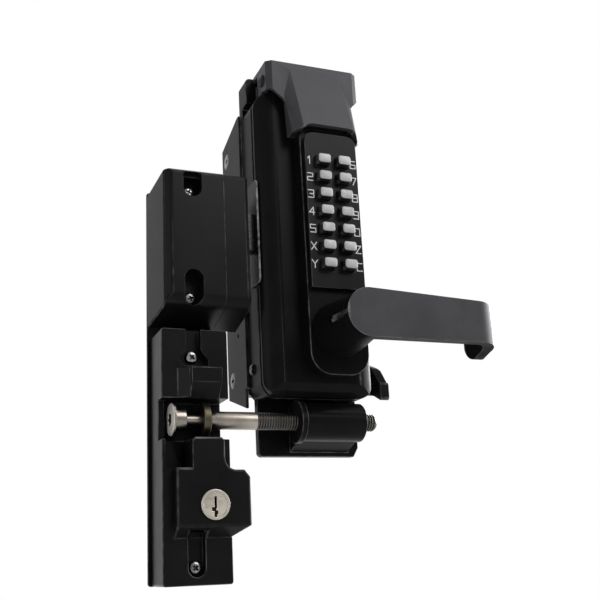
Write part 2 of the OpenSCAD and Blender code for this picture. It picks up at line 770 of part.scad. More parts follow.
// Housing on the gate's inner side, with a round collar about the spindle
rose_l = case_l + 4;
rose_r = key_x + 24;
rose_b = axis_z - 30;
rose_top = through_z[0] + 14;
module inside_rose() {
  color(graphite) difference() {
    along_y(stile_back, y_rose) pane(rose_l, rose_r, rose_b, rose_top, corner_r);
    along_y(stile_back - over, y_rose - wall) pane(rose_l + 22, rose_r - 24, rose_b + wall, rose_top - 6, 4);
    rod_y(key_x, axis_z, stile_back - over, y_rose + over, spigot_r + fit);
    for (x = through_x, z = through_z) {
      rod_y(x, z, stile_back - over, y_rose + over, 2.5 + 0.2);
      rod_y(x, z, y_rose - 3.5, y_rose + over, 5);
    }
  }
}

module inside_lever() {
  color(charcoal) difference() {
    union() {
      lever_bar(y_inside, y_inside - lever_t, y_rose + 7, 9, 16, 3);
      cone_y(key_x, axis_z, y_rose + gap, y_inside - lever_t + over, hub_r - 3, lever_r - 1);
      rod_y(key_x, axis_z, y_rose - wall, y_rose + gap + over, spigot_r);
    }
    along_y(y_rose - wall - over, y_inside - 8.8) spindle_square(0.1);
    rod_x(inside_grub_y, axis_z, key_x - hub_r - over, key_x, grub_r + fit);
  }
}

module inside_grub_screw() {
  color(stainless) difference() {
    rod_x(inside_grub_y, axis_z, key_x - lever_r + 2, key_x - spindle_w / 2 - 0.1, grub_r);
    rod_x(inside_grub_y, axis_z, key_x - lever_r - over, key_x - lever_r + 4, 1.3, $fn = 6);
  }
}

// Striker: socket head, narrow neck that the keeper locks, and a shank screwed into its boss
module striker_bolt() {
  neck_l_x = head_l + head_len;
  shank_l = washer_l + washer_t;
  y = -striker_y;
  color(stainless) difference() {
    union() {
      cone_x(y, striker_z, head_l, head_l + 1, head_r - 1, head_r);
      rod_x(y, striker_z, head_l + 1, head_l + head_t, head_r);
      rod_x(y, striker_z, head_l + head_t - 0.1, neck_l_x, head_body_r);
      rod_x(y, striker_z, neck_l_x - 0.1, shank_l + 1, neck_r);
      cone_x(y, striker_z, shank_l, shank_l + taper, neck_r + 1, shank_r);
      rod_x(y, striker_z, shank_l + taper - 0.1, striker_end, shank_r);
    }
    rod_x(y, striker_z, head_l - over, head_l + 5, 4.2, $fn = 6);
  }
}

module striker_washer() {
  color(bronze) difference() {
    rod_x(-striker_y, striker_z, washer_l, washer_l + washer_t - 0.1, washer_r);
    rod_x(-striker_y, striker_z, washer_l - over, washer_l + washer_t + over, neck_r + fit);
  }
}

module post_plate() {
  color(graphite) difference() {
    along_y(yp, 0) pane(post_l, post_r - 0.4, keeper_b, strike_top - 5, 2);
    for (z = concat(upper_screw_z, lower_screw_z)) rod_y(post_x, z, yp - over, over, screw_r + 0.2);
  }
}

// Side outline of the strike box: its top sinks towards the post, its front is bevelled below
module strike_side() {
  polygon([[yp, strike_top - strike_slope], [y_strike + 2, strike_top], [y_strike, strike_top - 2],
    [y_strike, strike_b + 17], [y_strike + 3.5, strike_b + 10], [y_strike + 8, strike_b + 7], [yp, strike_b]]);
}

module strike_box() {
  color(graphite) difference() {
    intersection() {
      along_z(strike_b - over, strike_top + over) polygon([[post_l, yp], [post_l + 4.3, y_strike + 3.5],
        [post_l + 9.5, y_strike], [seam_x, y_strike], [seam_x, yp]]);
      along_x(post_l - over, seam_x) strike_side();
    }
    for (p = [[post_l + 10, post_x - 12], [post_x + 12, seam_x - 4]])
      along_y(y_strike + 5, yp + over) pane(p[0], p[1], strike_b + 12, strike_top - strike_slope - 4);
    along_y(y_strike - over, strike_seat) {
      translate([post_x, upper_screw_z[0] - 0.8]) circle(slot_r);
      pane(post_x - slot_r, post_x + slot_r, upper_screw_z[0] - 0.8, strike_top - 4.5);
      for (z = [upper_screw_z[1], upper_screw_z[1] + 12]) translate([post_x, z]) circle(slot_r);
      pane(post_x - slot_r, post_x + slot_r, upper_screw_z[1], upper_screw_z[1] + 12);
    }
    along_y(y_strike - over, y_strike + 5)
      pane(post_x - slot_r, post_x + slot_r, upper_screw_z[0], strike_top - 1.6, 2.5);
    for (z = upper_screw_z) rod_y(post_x, z, strike_seat - over, yp + over, screw_r + 0.2);
  }
}

// Mouth of the strike, over the gap beside the post: the latch bolt enters its pocket
mouth_y = [latch_front - gap, latch_back + 2];
mouth_h = latch_h + 5;
module strike_mouth() {
  color(graphite) difference() {
    intersection() {
      along_z(strike_b - over, strike_top + over) polygon([[seam_x, yp], [seam_x, y_strike],
        [mouth_r - 2, y_strike], [mouth_r, y_strike + 2], [mouth_r, yp]]);
      along_x(seam_x, mouth_r) strike_side();
    }
    along_x(seam_x + 3, mouth_r + over) pane(mouth_y[0], mouth_y[1], -mouth_h / 2, mouth_h / 2);
  }
}

// Outline of the key cover: a neck under the striker, round shoulders and a bevelled foot
module cover_outline(m) {
  neck_round = 8;
  left = neck_l + m;
  right = neck_r_x - m;
  top = channel_b - m;
  shoulder = shoulder_r - m;
  difference() {
    polygon([[left, top - 2], [left + 2, top], [right - 2, top], [right, top - 2], [right, shoulder + neck_round],
      [right + neck_round, shoulder], [cover_r - 4, shoulder], [cover_r - m, shoulder - 5],
      [cover_r - m, cover_b + cover_bevel], [keeper_r - m, cover_b + m], [cover_l + m, cover_b + m],
      [cover_l + m, shoulder_l - m], [left, shoulder_l - m]]);
    translate([right + neck_round, shoulder + neck_round]) circle(neck_round);
  }
}

module key_cover() {
  color(graphite) difference() {
    intersection() {
      along_y(y_cover, cover_back) cover_outline(0);
      along_x(cover_l - over, cover_r + over) polygon([[y_cover, channel_b + over], [y_cover, cover_b + cover_bevel],
        [y_keeper, cover_b], [cover_back, cover_b], [cover_back, channel_b + over]]);
    }
    intersection() {
      along_y(y_cover + cover_wall, cover_back + over) cover_outline(cover_wall);
      along_x(cover_l, cover_r) polygon([[y_cover, channel_b], [y_cover, cover_b + cover_bevel + 2],
        [y_keeper + 1, cover_b + cover_floor], [cover_back + over, cover_b + cover_floor],
        [cover_back + over, channel_b]]);
    }
    rod_y(cyl_x, cyl_z, y_cover - over, cover_back, barrel_r);
    along_z(channel_b - 10, channel_b + over)
      pane(slide_x[0] - gap, slide_x[1] + gap, finger_y[0] - gap, finger_y[1] + gap);
    lower_recess();
  }
}

// Recess for the lower screw, rising into the bevel of the cover
module lower_recess() {
  along_y(y_cover - over, keeper_seat) {
    translate([post_x, lower_screw_z[1]]) circle(6);
    pane(post_x - 6, post_x + 6, lower_screw_z[1], cover_b + 4.5);
  }
}

module keeper_body() {
  jaw_b = striker_z + 24.5;
  jaw_top = jaw_b + 11;
  color(graphite) difference() {
    union() {
      along_y(y_keeper, yp) pane(keeper_l, keeper_r, keeper_b, keeper_top, 2);
      along_x(neck_l + 0.6, neck_r_x - 0.5) polygon([[y_keeper + over, jaw_top + 2], [y_cover + 1, jaw_top], [y_cover, jaw_top - 1],
        [y_cover, jaw_b], [y_keeper, jaw_b - 10], [y_keeper + over, jaw_b - 10]]);
      along_z(channel_top, jaw_top) polygon([[neck_l + over, y_cover + 4], [neck_l - 7, y_keeper], [neck_l - 7, y_keeper + over],
        [neck_l + over, y_keeper + over]]);
    }
    along_y(y_cover - over, channel_y) pane(keeper_l + 4.5, keeper_r + over, channel_b, channel_top, 1);
    along_y(y_cover - over, -striker_y + 5) pane(keeper_l - over, keeper_l + 6, channel_b, channel_top);
    along_y(y_cover - over, cover_back) cover_outline(0);
    along_y(y_cover - over, y_keeper + 12) pane(keeper_l + 2.5, neck_l + over, shoulder_l, channel_b + 3, 2);
    along_y(y_cover - over, keeper_seat) {
      translate([post_x, lower_screw_z[0]]) circle(5.5);
      pane(post_x - 5.5, post_x + 5.5, lower_screw_z[0], keeper_top + over);
      polygon([[post_x - 5, lower_screw_z[0] + 5], [post_x + 5, lower_screw_z[0] + 5], [post_x + 11, lower_screw_z[0] - 3],
        [post_x + 11, lower_screw_z[0] - 7], [post_x - 8, lower_screw_z[0] - 7], [post_x - 11, lower_screw_z[0] - 2]]);
    }
    lower_recess();
    for (z = lower_screw_z) rod_y(post_x, z, keeper_seat - over, yp + over, screw_r + 0.2);
  }
}

module cylinder_body() {
  color(satin) difference() {
    union() {
      rod_y(cyl_x, cyl_z, y_cover - 1.5, y_cover, cylinder_r);
      rod_y(cyl_x, cyl_z, y_cover - 0.5, barrel_back, barrel_r);
    }
    rod_y(cyl_x, cyl_z, y_cover - 2, barrel_back + over, plug_r + fit);
  }
}

module key_plug() {
  color(satin) difference() {
    rod_y(cyl_x, cyl_z, y_cover - 1.2, barrel_back + 0.2, plug_r);
    along_y(y_cover - 3, y_cover + 14) translate([cyl_x, cyl_z]) {
      translate([-0.9, -2.4]) square([1.7, 7.8]);
      translate([-2.9, -4.4]) square([3.2, 2.6]);
      translate([-1, -6.6]) square([2.6, 2.6]);
      translate([-1, -plug_r - over]) square([1.7, 3]);
    }
  }
}

module lock_cam() {
  color(stainless) translate([cyl_x, 0, cyl_z]) rotate([0, -45, 0]) {
    along_y(barrel_back + 0.2, barrel_back + 0.2 + cam_t) {
      circle(6);
      translate([-crank_r, -3.2]) square([crank_r, 6.4]);
      translate([-crank_r, 0]) circle(3.2);
    }
    rod_y(-crank_r, 0, barrel_back + cam_t, leg_y[1] + 1, crank_pin_r);
  }
}

// Slide that rises in front of the striker's neck: finger, bridge over the cylinder, leg, slotted foot
module lock_slide() {
  pin_z = cyl_z - slide_lift / 2;
  bridge = [cyl_z + 15, channel_b - cover_wall - slide_lift - 2];
  color(stainless) {
    along_y(finger_y[0], finger_y[1]) pane(slide_x[0], slide_x[1], bridge[0], finger_top);
    along_y(finger_y[1] - over, leg_y[1]) pane(slide_x[0], slide_x[1], bridge[0], bridge[1]);
    along_y(leg_y[0], leg_y[1]) difference() {
      union() {
        pane(slide_x[0], slide_x[1], pin_z + 3, bridge[0] + over);
        pane(cyl_x - crank_r - 5.5, slide_x[1], pin_z - 4.5, pin_z + 4.5);
      }
      pane(cyl_x - crank_r - crank_pin_r - 0.5, cyl_x - crank_r / sqrt(2) + crank_pin_r + 0.5,
        pin_z - crank_pin_r - 0.6, pin_z + crank_pin_r + 0.6);
    }
  }
}

module post_screws() {
  color(stainless) {
    for (z = upper_screw_z) facing_user(post_x, strike_seat, z)
      pan_screw(screw_r, screw_head_r, screw_head_h, screw_bite - strike_seat, thread_len);
    for (z = lower_screw_z) facing_user(post_x, keeper_seat, z)
      pan_screw(screw_r, screw_head_r, screw_head_h, screw_bite - keeper_seat, thread_len);
  }
}

module flange_screws() {
  color(stainless) for (z = flange_screw_z) facing_post(flange_l, flange_screw_y, z)
    flush_screw(flange_screw_r, flange_head_r, flange_t - gap, flange_t + screw_bite, thread_len);
}

module case_screws() {
  color(stainless) {
    facing_post(case_l, lug_y, lug_z) pan_screw(bolt_r, small_head_r, small_head_h, wall + small_bite);
    facing_hinge(case_r, lug_y, lug_z) pan_screw(bolt_r, small_head_r, small_head_h, wall + small_bite);
  }
}

module hood_screws() {
  color(graphite) {
    facing_post(hood_l, hood_screw_y, hood_screw_z) pan_screw(bolt_r, hood_head_r, small_head_h, hood_wall + small_bite);
    facing_hinge(hood_r, hood_screw_y, hood_screw_z) pan_screw(bolt_r, hood_head_r, small_head_h, hood_wall + small_bite);
  }
}

module case_bolts() {
  color(stainless) for (x = bolt_x, z = bolt_z) facing_inside(x, 0, z)
    flush_screw(bolt_r, 4.6, 2, -y_front - 5);
}

module through_bolts() {
  color(stainless) for (x = through_x, z = through_z) facing_inside(x, y_rose - 3.5, z)
    pan_screw(2.5, 4.6, 3, y_rose - 3.5 - y_base + 2);
}

mounting_base();
rear_case();
case_seal();
front_case();
rain_hood();
keypad_body();
keypad_plate();
button_chamber();
for (i = [1 : 14]) button(i - 1);
lever_handle();
lever_grub_screw();
spindle();
follower();
draw_bar();
latch_guide();
latch_bolt();
return_spring();
latch_faceplate();
inside_rose();
inside_lever();
inside_grub_screw();
striker_bolt();
striker_washer();
post_plate();
strike_box();
strike_mouth();
keeper_body();
key_cover();
cylinder_body();
key_plug();
lock_cam();
lock_slide();
post_screws();
flange_screws();
case_screws();
hood_screws();
case_bolts();
through_bolts();
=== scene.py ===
"""Visible surfaces of the push-button gate lock, built round its CAD frame."""
import json
import math

import bmesh
import bpy
from mathutils import Matrix, Vector
from mathutils.bvhtree import BVHTree


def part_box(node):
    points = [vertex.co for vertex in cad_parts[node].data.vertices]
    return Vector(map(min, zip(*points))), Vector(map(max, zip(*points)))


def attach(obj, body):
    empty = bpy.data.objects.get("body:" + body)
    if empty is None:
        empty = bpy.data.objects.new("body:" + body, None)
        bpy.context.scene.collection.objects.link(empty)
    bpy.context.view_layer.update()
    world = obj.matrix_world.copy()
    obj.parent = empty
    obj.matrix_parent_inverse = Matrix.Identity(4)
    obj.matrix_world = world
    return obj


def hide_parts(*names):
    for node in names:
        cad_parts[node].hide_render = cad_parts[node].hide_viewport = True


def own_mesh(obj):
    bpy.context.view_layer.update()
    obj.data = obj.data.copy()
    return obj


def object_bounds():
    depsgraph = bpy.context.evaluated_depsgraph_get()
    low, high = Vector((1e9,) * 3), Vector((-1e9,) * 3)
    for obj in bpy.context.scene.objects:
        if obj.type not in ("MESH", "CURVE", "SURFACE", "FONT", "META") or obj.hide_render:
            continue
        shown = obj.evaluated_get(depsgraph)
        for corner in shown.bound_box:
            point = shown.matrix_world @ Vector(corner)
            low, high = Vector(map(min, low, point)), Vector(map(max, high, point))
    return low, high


bl_info = {
    "name": "Gate Lock",
    "version": (1, 0, 0),
    "blender": (4, 5, 0),
    "location": "View3D > Sidebar > Gate Lock",
    "description": "Shells, keypad, levers, striker, keeper and screws of a push-button gate lock",
    "category": "Object",
}

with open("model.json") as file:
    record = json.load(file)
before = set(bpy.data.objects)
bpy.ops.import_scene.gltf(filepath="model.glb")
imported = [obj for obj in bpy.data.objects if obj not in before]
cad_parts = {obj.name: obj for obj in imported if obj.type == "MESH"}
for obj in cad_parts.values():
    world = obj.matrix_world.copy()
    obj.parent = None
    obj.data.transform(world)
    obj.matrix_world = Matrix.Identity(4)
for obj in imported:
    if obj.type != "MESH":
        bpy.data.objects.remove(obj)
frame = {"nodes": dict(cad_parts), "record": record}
CAD_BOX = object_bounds()
MM = 0.001
BODY_OF = {node: body for body, nodes in frame["record"]["behaviour"]["bodies"].items() for node in nodes}

# Places in the frame, in mm: X to the right, Y to the back, Z up
LEVER_X = 28.5
LEVER_Z = -81.0
STRIKER_Y = -30.0
STRIKER_Z = -145.5
FIXING_X = -78.2
CYLINDER_X = -67.7
CYLINDER_Z = -205.0
STRIKE_SEAM_X = -54.0
SLIDE_X = -76.5
PLATE_Y = -58.5

# Labels, in mm: height of the first row, step to the next one, and the middle of each column
FIRST_ROW_Z = 52.0
ROW_PITCH = 14.0
LABEL_X = (9.9, 46.4)
LABELS = ("12345XY", "67890ZC")

# Strokes of the labels on a square of side 1
STROKES = {
    "1": [((0.2, 0.75), (0.55, 1), (0.55, 0))],
    "2": [((0, 1), (1, 1), (1, 0.52), (0, 0.48), (0, 0), (1, 0))],
    "3": [((0, 1), (1, 1), (1, 0), (0, 0)), ((0.3, 0.5), (1, 0.5))],
    "4": [((0.75, 0), (0.75, 1), (0, 0.32), (1, 0.32))],
    "5": [((1, 1), (0, 1), (0, 0.52), (1, 0.52), (1, 0), (0, 0))],
    "6": [((1, 1), (0, 1), (0, 0), (1, 0), (1, 0.5), (0, 0.5))],
    "7": [((0, 1), (1, 1), (0.35, 0))],
    "8": [((0, 0), (0, 1), (1, 1), (1, 0), (0, 0)), ((0, 0.5), (1, 0.5))],
    "9": [((0, 0), (1, 0), (1, 1), (0, 1), (0, 0.5), (1, 0.5))],
    "0": [((0, 0), (0, 1), (1, 1), (1, 0), (0, 0))],
    "X": [((0, 0), (1, 1)), ((0, 1), (1, 0))],
    "Y": [((0, 1), (0.5, 0.5), (1, 1)), ((0.5, 0.5), (0.5, 0))],
    "Z": [((0, 1), (1, 1), (0, 0), (1, 0))],
    "C": [((1, 1), (0, 1), (0, 0), (1, 0))],
}

# A label's width as a share of its height, the corners of a stroke's round end, and in mm half a
# stroke's width, how far its paint stands out, how much further each next stroke does, and how far
# it reaches into the plate
LABEL_WIDTH = 0.72
ROUND_STEPS = 6
STROKE_HALF = 0.36
PAINT_RISE = 0.12
PAINT_STEP = 0.002
PAINT_SINK = 0.05

# A button's rings in mm, from stem to shaft: half width, half height and corner, and before them,
# for the collar, the place in Y
BUTTON_COUNT = 14
BUTTON_STEM = (3.0, 3.0, 3.0)
BUTTON_SHAFT = (5.8, 4.3, 2.0)
BUTTON_COLLAR = ((-52.2, 6.5, 5.0, 2.0), (-53.2, 6.6, 5.1, 2.0))
STEM_END_Y = -52.3
SHAFT_START_Y = -53.3

# The rings of its cap, the first value being the distance behind its face; the shares of the last
# one that the crown's rings take; and how many bands from the back on take the flank's black coat,
# painted shade on the sides of the satin-metal button
BUTTON_CAP = ((2.3, 5.42, 3.92, 2.1), (2.15, 5.28, 3.8, 2.0), (1.1, 5.2, 3.7, 2.0), (0.55, 4.98, 3.5, 1.9),
              (0.16, 4.6, 3.12, 1.7), (0, 4.05, 2.6, 1.4))
CROWN_SHARES = (0.75, 0.5, 0.25, 0.05)
SHADED_FLANK_BANDS = 9

# Levers, in mm: radius of the round end, outer radius of the bend, thickness of the bar, how much it
# narrows up to the bend, and its height where the return starts
LEVER_END = 17.6
LEVER_BEND = 16.0
LEVER_THICK = 8.0
LEVER_TAPER = 4.3
RETURN_HIGH = 30.0

# Turns in degrees of the sections at the round end, and of those at the tip of the return; then how
# many sections the bend has, and how late in it the return's slant sets in
END_TURNS = (5, 12, 20, 29, 38, 48, 58, 69, 80)
TIP_TURNS = (76, 62, 49, 37, 26, 16, 7)
BEND_STEPS = 9
TWIST_EASE = 1.7

# Each lever: the coat of its face, the grub screw with its place in Y, and in mm the bar's front and
# the return's end in Y, the return's drop, height and tip radius, and the hub's outline as
# (Y, radius)
LEVERS = (
    {"node": "lever_handle", "name": "outer_lever", "coat": "hood_coat",
     "grub": "lever_grub_screw", "grub_y": -80.0,
     "bar": {"front": -106.0, "turn_back": -68.0, "drop": 6.0, "end_high": 24.0, "end_round": 12.0},
     "hub": ((-99.5, 16.6), (-98.0, 16.6), (-54.6, 21.3), (-53.8, 20.9), (-53.8, 9.0), (-51.0, 9.0))},
    # the inner lever's face takes the black case coat: painted shade on a lever charcoal like the outer one
    {"node": "inside_lever", "name": "inner_lever", "coat": "case_coat",
     "grub": "inside_grub_screw", "grub_y": 82.0,
     "bar": {"front": 98.0, "turn_back": 69.0, "drop": 9.0, "end_high": 16.0, "end_round": 3.0},
     "hub": ((91.5, 16.6), (90.0, 16.6), (63.1, 18.3), (62.3, 17.9), (62.3, 9.0), (59.0, 9.0))},
)

# Hub and the hole of its grub screw: steps round each, and in mm the hole's radius, its depth and
# the distance of its start from the lever's axis
HUB_STEPS = 96
GRUB_STEPS = 32
GRUB_RADIUS = 2.6
GRUB_DEPTH = 9.0
GRUB_REACH = 24.0

# Striker, in mm: outline of its head as (distance behind its face, radius), radius of its shank,
# outline of its taper and shank as (X, radius), and where its thread starts
HEAD_OUTLINE = ((0, 10.6), (0.35, 11.2), (0.9, 11.5), (2.0, 11.5), (2.35, 11.2), (2.5, 10.7), (2.5, 8.9),
                (3.0, 8.4), (9.9, 8.4), (10.4, 8.1), (10.5, 7.6), (10.5, 4.0), (10.9, 3.6))
SHANK_RADIUS = 6.4
SHANK_OUTLINE = ((-66.6, 3.6), (-66.4, 4.85), (-62.1, SHANK_RADIUS), (-31.4, SHANK_RADIUS))
THREAD_X = -30.6
STRIKER_STEPS = 72

# Its socket, in mm: radius to the corners, and rings as (distance behind the face, share of the
# radius)
SOCKET_RADIUS = 4.8
SOCKET_RINGS = ((4.8, 0.35), (4.6, 0.97), (0.3, 1.0), (0, 1.06))

# Its coats, the first being that of the neck and shank, and in mm how deep the face's coat goes,
# the radius within which it ends, and the depth and radius that the socket's coat goes to. The
# thread's coat is a darker copy of the striker's steel, painted shade; the face's coat a lighter,
# less metallic one, painted light; the socket's coat the rubber's black, painted shade in its hollow
STRIKER_COATS = ("striker_steel", "thread_steel", "head_steel", "seal_rubber")
HEAD_FACE = 1.2
SOCKET_EDGE = 4.4
SOCKET_REACH = 5.0

# The two stretches of thread that show, in mm: start in X and length of the left one, start of the
# right one, and its gap before the striker's end. Then the wire that makes their ridges: how far it
# lies within the shank and its radius, as shares of the thread's depth, and its steps
THREAD_LEFT_START = -31.0
THREAD_LEFT_LENGTH = 32.0
THREAD_RIGHT_START = 51.0
THREAD_END_GAP = 1.4
THREAD_SINK = 0.95
THREAD_WIRE = 0.92
THREAD_SIDES = 8
THREAD_STEPS = 40

# Return spring: radius of its wire in metres, its turns, and the steps round and along the wire
SPRING_WIRE = 0.0005
SPRING_TURNS = 8.0
SPRING_SIDES = 10
SPRING_STEPS = 28

# Widths of the rounded edges of the cast and moulded pieces, as shares of the shell edge
THIN_SHARE = 0.7
SEAL_SHARE = 0.5
PLATE_SHARE = 0.8
BODY_SHARE = 1.3
STRIKE_SHARE = 2.2
COVER_SHARE = 2.4

# Widths of the rounded edges of the small pieces, in metres
LATCH_EDGE = 0.0005
FACEPLATE_EDGE = 0.0003
GRUB_EDGE = 0.0002
WASHER_EDGE = 0.0006
RIM_EDGE = 0.0005
PLUG_EDGE = 0.00025

# Screws: places in Y of the seats of strike and keeper, and turns in degrees; then for each row the
# sizes of the blank in mm, and place in mm and turn of each screw. A bright row has a painted glint
# on the faces of its heads
STRIKE_SEAT = -28.0
KEEPER_SEAT = -29.0
TO_LEFT = (0, -90, 0)
TO_RIGHT = (0, 90, 0)
TO_BACK = (-90, 0, 0)
SCREW_ROWS = (
    {"name": "post_fixings", "node": "post_screws", "coat": "screw_steel", "slot": "screw_steel",
     "glint_and_wear": True,
     "blank": {"radius": 2.4, "head": 4.8, "head_h": 3, "length": 40},
     "points": (((FIXING_X, STRIKE_SEAT, 27.0), (90, 24, 0)),
                ((FIXING_X, STRIKE_SEAT, -56.5), (90, -18, 0)),
                ((FIXING_X, KEEPER_SEAT, -100.6), (90, 40, 0)),
                ((FIXING_X, KEEPER_SEAT, -245.6), (90, 45, 0)))},
    {"name": "flange_fixings", "node": "flange_screws", "coat": "screw_steel", "slot": "screw_steel",
     "blank": {"radius": 2.2, "head": 6.4, "head_h": 2.2, "length": 14.5, "flush": True},
     "points": (((-27.5, 30, 86), TO_LEFT), ((-27.5, 30, -104), TO_LEFT))},
    {"name": "case_side_screws", "node": "case_screws", "coat": "screw_steel", "slot": "screw_steel",
     "blank": {"radius": 2, "head": 4.3, "head_h": 2.1, "length": 11},
     "points": (((-25, -11.6, -103.5), TO_LEFT), ((62, -11.6, -103.5), TO_RIGHT))},
    {"name": "hood_side_screws", "node": "hood_screws", "coat": "dark_screw", "slot": "charcoal",
     "blank": {"radius": 2, "head": 5, "head_h": 2.1, "length": 10.5, "recess": 0.62},
     "points": (((-18.5, -38.5, 126), TO_LEFT), ((60, -38.5, 126), TO_RIGHT))},
    {"name": "through_fixings", "node": "through_bolts", "coat": "screw_steel", "slot": "screw_steel",
     "blank": {"radius": 2.5, "head": 4.6, "head_h": 3, "length": 63.5},
     "points": tuple(((x, 58.5, z), TO_BACK) for x in (-10, 40.5) for z in (40, -60))},
)

# Screw blanks: step of the ridges in mm, the most ridges, chamfer of the head in mm and steps round
# the shank; LEAST_RADIUS, in mm, closes the end of anything turned
RIDGE_PITCH = 1.4
RIDGE_MOST = 8
HEAD_CHAMFER = 0.12
SCREW_STEPS = 40
LEAST_RADIUS = 0.001

# The two slots of the cross: turn in degrees and, in mm, how far each stands out of the head and
# goes past its depth, so that no two faces meet. Their half widths are shares of the head's radius
# at the top and the bottom, and the bottom takes a share of the length
SLOT_TURNS = ((0, 0.4, 0), (90, 0.49, 0.072))
SLOT_TOP = 0.17
SLOT_BOTTOM = 0.09
SLOT_TAPER = 0.45

# How much of a painted glint a blank takes on its head's face, and elsewhere
FACE_GLINT = 0.8
REST_GLINT = 0.1

# Metals of the inner parts
INNER_WORKS = {
    "button_chamber": "upright_steel",
    "spindle": "plain_steel",
    "follower": "plain_steel",
    "draw_bar": "upright_steel",
    "latch_guide": "plain_steel",
    "lock_cam": "plain_steel",
    "lock_slide": "upright_steel",
    "case_bolts": "screw_steel",
}

# Stage: half the floor's side, its gap below the lock and the ring where it fades to white, in
# metres, its colour, and the world's strength where it lights dull surfaces
FLOOR_REACH = 6.0
FLOOR_DROP = 0.09
FADE_START = 0.6
FADE_END = 1.6
FLOOR_COLOUR = (0.92, 0.92, 0.92, 1)
WORLD_LIGHT = 0.35

# Lamps: name, place and side in metres, power in watts; all face the middle of the lock
LOCK_MIDDLE = (0, -0.03, -0.06)
LAMPS = (
    ("key", (0.7, -1.3, 1.1), 1.1, 26),
    ("fill", (-1.5, -0.7, 0.2), 1.0, 7),
    ("top", (0.1, 0.2, 1.5), 1.2, 12),
    ("back", (1.25, 0.95, 0.45), 0.9, 30),
    ("side", (1.5, -0.15, 0.3), 1.0, 26),
)

# The photograph's camera: place in metres, turns in degrees, lens and sensor in mm, the shift of its
# picture as a share of the sensor, and the nearest and furthest it sees in metres
CAMERA_PLACE = (-0.2458, -0.6269, -0.2444)
CAMERA_PITCH = 15.40
CAMERA_YAW = -20.54
CAMERA_ROLL = -2.29
CAMERA_LENS = 53.18
CAMERA_SENSOR = 36
CAMERA_SHIFT = (0.0613, 0.032)
CAMERA_CLIP = (0.01, 50)


class LockColours(bpy.types.PropertyGroup):
    """Colours of the lock's finishes"""
    case: bpy.props.FloatVectorProperty(
        name="Case", description="Black powder coat of the cast shells",
        subtype="COLOR", default=(0.0028, 0.0028, 0.0030), min=0, max=1)
    hood: bpy.props.FloatVectorProperty(
        name="Hood and levers", description="Charcoal coat of hood and levers",
        subtype="COLOR", default=(0.023, 0.023, 0.026), min=0, max=1)
    seal: bpy.props.FloatVectorProperty(
        name="Seal", description="Rubber between the case halves",
        subtype="COLOR", default=(0.004, 0.004, 0.004), min=0, max=1)
    button: bpy.props.FloatVectorProperty(
        name="Button tops", description="Satin metal of the button tops",
        subtype="COLOR", default=(0.21, 0.21, 0.205), min=0, max=1)
    label: bpy.props.FloatVectorProperty(
        name="Key labels", description="Paint of the figures beside the buttons",
        subtype="COLOR", default=(0.42, 0.42, 0.42), min=0, max=1)
    steel: bpy.props.FloatVectorProperty(
        name="Steel", description="Plain steel of the spring and the inner parts",
        subtype="COLOR", default=(0.20, 0.20, 0.205), min=0, max=1)
    striker: bpy.props.FloatVectorProperty(
        name="Striker", description="Warm stainless steel of the striker bolt",
        subtype="COLOR", default=(0.18, 0.162, 0.14), min=0, max=1)
    washer: bpy.props.FloatVectorProperty(
        name="Washer", description="Olive bronze of the striker's washer",
        subtype="COLOR", default=(0.052, 0.044, 0.030), min=0, max=1)
    nickel: bpy.props.FloatVectorProperty(
        name="Cylinder", description="Satin nickel of the key cylinder",
        subtype="COLOR", default=(0.34, 0.31, 0.265), min=0, max=1)


class LockSizes(bpy.types.PropertyGroup):
    """Sizes of the lock's finer details"""
    shell_edge: bpy.props.FloatProperty(
        name="Shell edge", description="Edge radius of the cast shells",
        subtype="DISTANCE", default=0.0007, min=0.0001, max=0.002)
    lever_edge: bpy.props.FloatProperty(
        name="Lever edge", description="Edge radius of the levers",
        subtype="DISTANCE", default=0.0018, min=0.0005, max=0.003)
    label_height: bpy.props.FloatProperty(
        name="Label height", description="Height of the figures",
        subtype="DISTANCE", default=0.0060, min=0.003, max=0.008)
    thread_pitch: bpy.props.FloatProperty(
        name="Thread pitch", description="Pitch of the striker's thread",
        subtype="DISTANCE", default=0.002, min=0.001, max=0.003)
    thread_depth: bpy.props.FloatProperty(
        name="Thread depth", description="Depth of the striker's thread",
        subtype="DISTANCE", default=0.0008, min=0.0003, max=0.0015)
    button_dome: bpy.props.FloatProperty(
        name="Button dome", description="Rise of a button's crowned top",
        subtype="DISTANCE", default=0.0003, min=0, max=0.001)


def colours():
    return bpy.context.scene.gate_lock_colours


def sizes():
    return bpy.context.scene.gate_lock_sizes


# Materials

def new_material(name):
    material = bpy.data.materials.new(name)
    material.use_nodes = True
    tree = material.node_tree
    return material, tree, tree.nodes["Principled BSDF"]


def object_place(tree):
    """Each point's place on its object"""
    return tree.nodes.new("ShaderNodeTexCoord").outputs["Object"]


def edge_wear(tree):
    """How far each point is worn and carries a painted highlight, as stored on its mesh"""
    node = tree.nodes.new("ShaderNodeAttribute")
    node.attribute_name = "edge_wear"
    return node.outputs["Fac"]


def shade(colour, factor, lift=0):
    """A colour times a factor, lifted by a fixed amount"""
    return [min(1, channel * factor + lift) for channel in colour]


def noise(tree, place, scale, detail, roughness=0.5):
    node = tree.nodes.new("ShaderNodeTexNoise")
    node.inputs["Scale"].default_value = scale
    node.inputs["Detail"].default_value = detail
    node.inputs["Roughness"].default_value = roughness
    tree.links.new(place, node.inputs["Vector"])
    return node.outputs["Fac"]


def spread(tree, factor, low, high, start=0.35, end=0.65):
    """A factor between start and end, spread to run from low to high"""
    node = tree.nodes.new("ShaderNodeMapRange")
    node.inputs["From Min"].default_value = start
    node.inputs["From Max"].default_value = end
    node.inputs["To Min"].default_value = low
    node.inputs["To Max"].default_value = high
    tree.links.new(factor, node.inputs["Value"])
    return node.outputs["Result"]


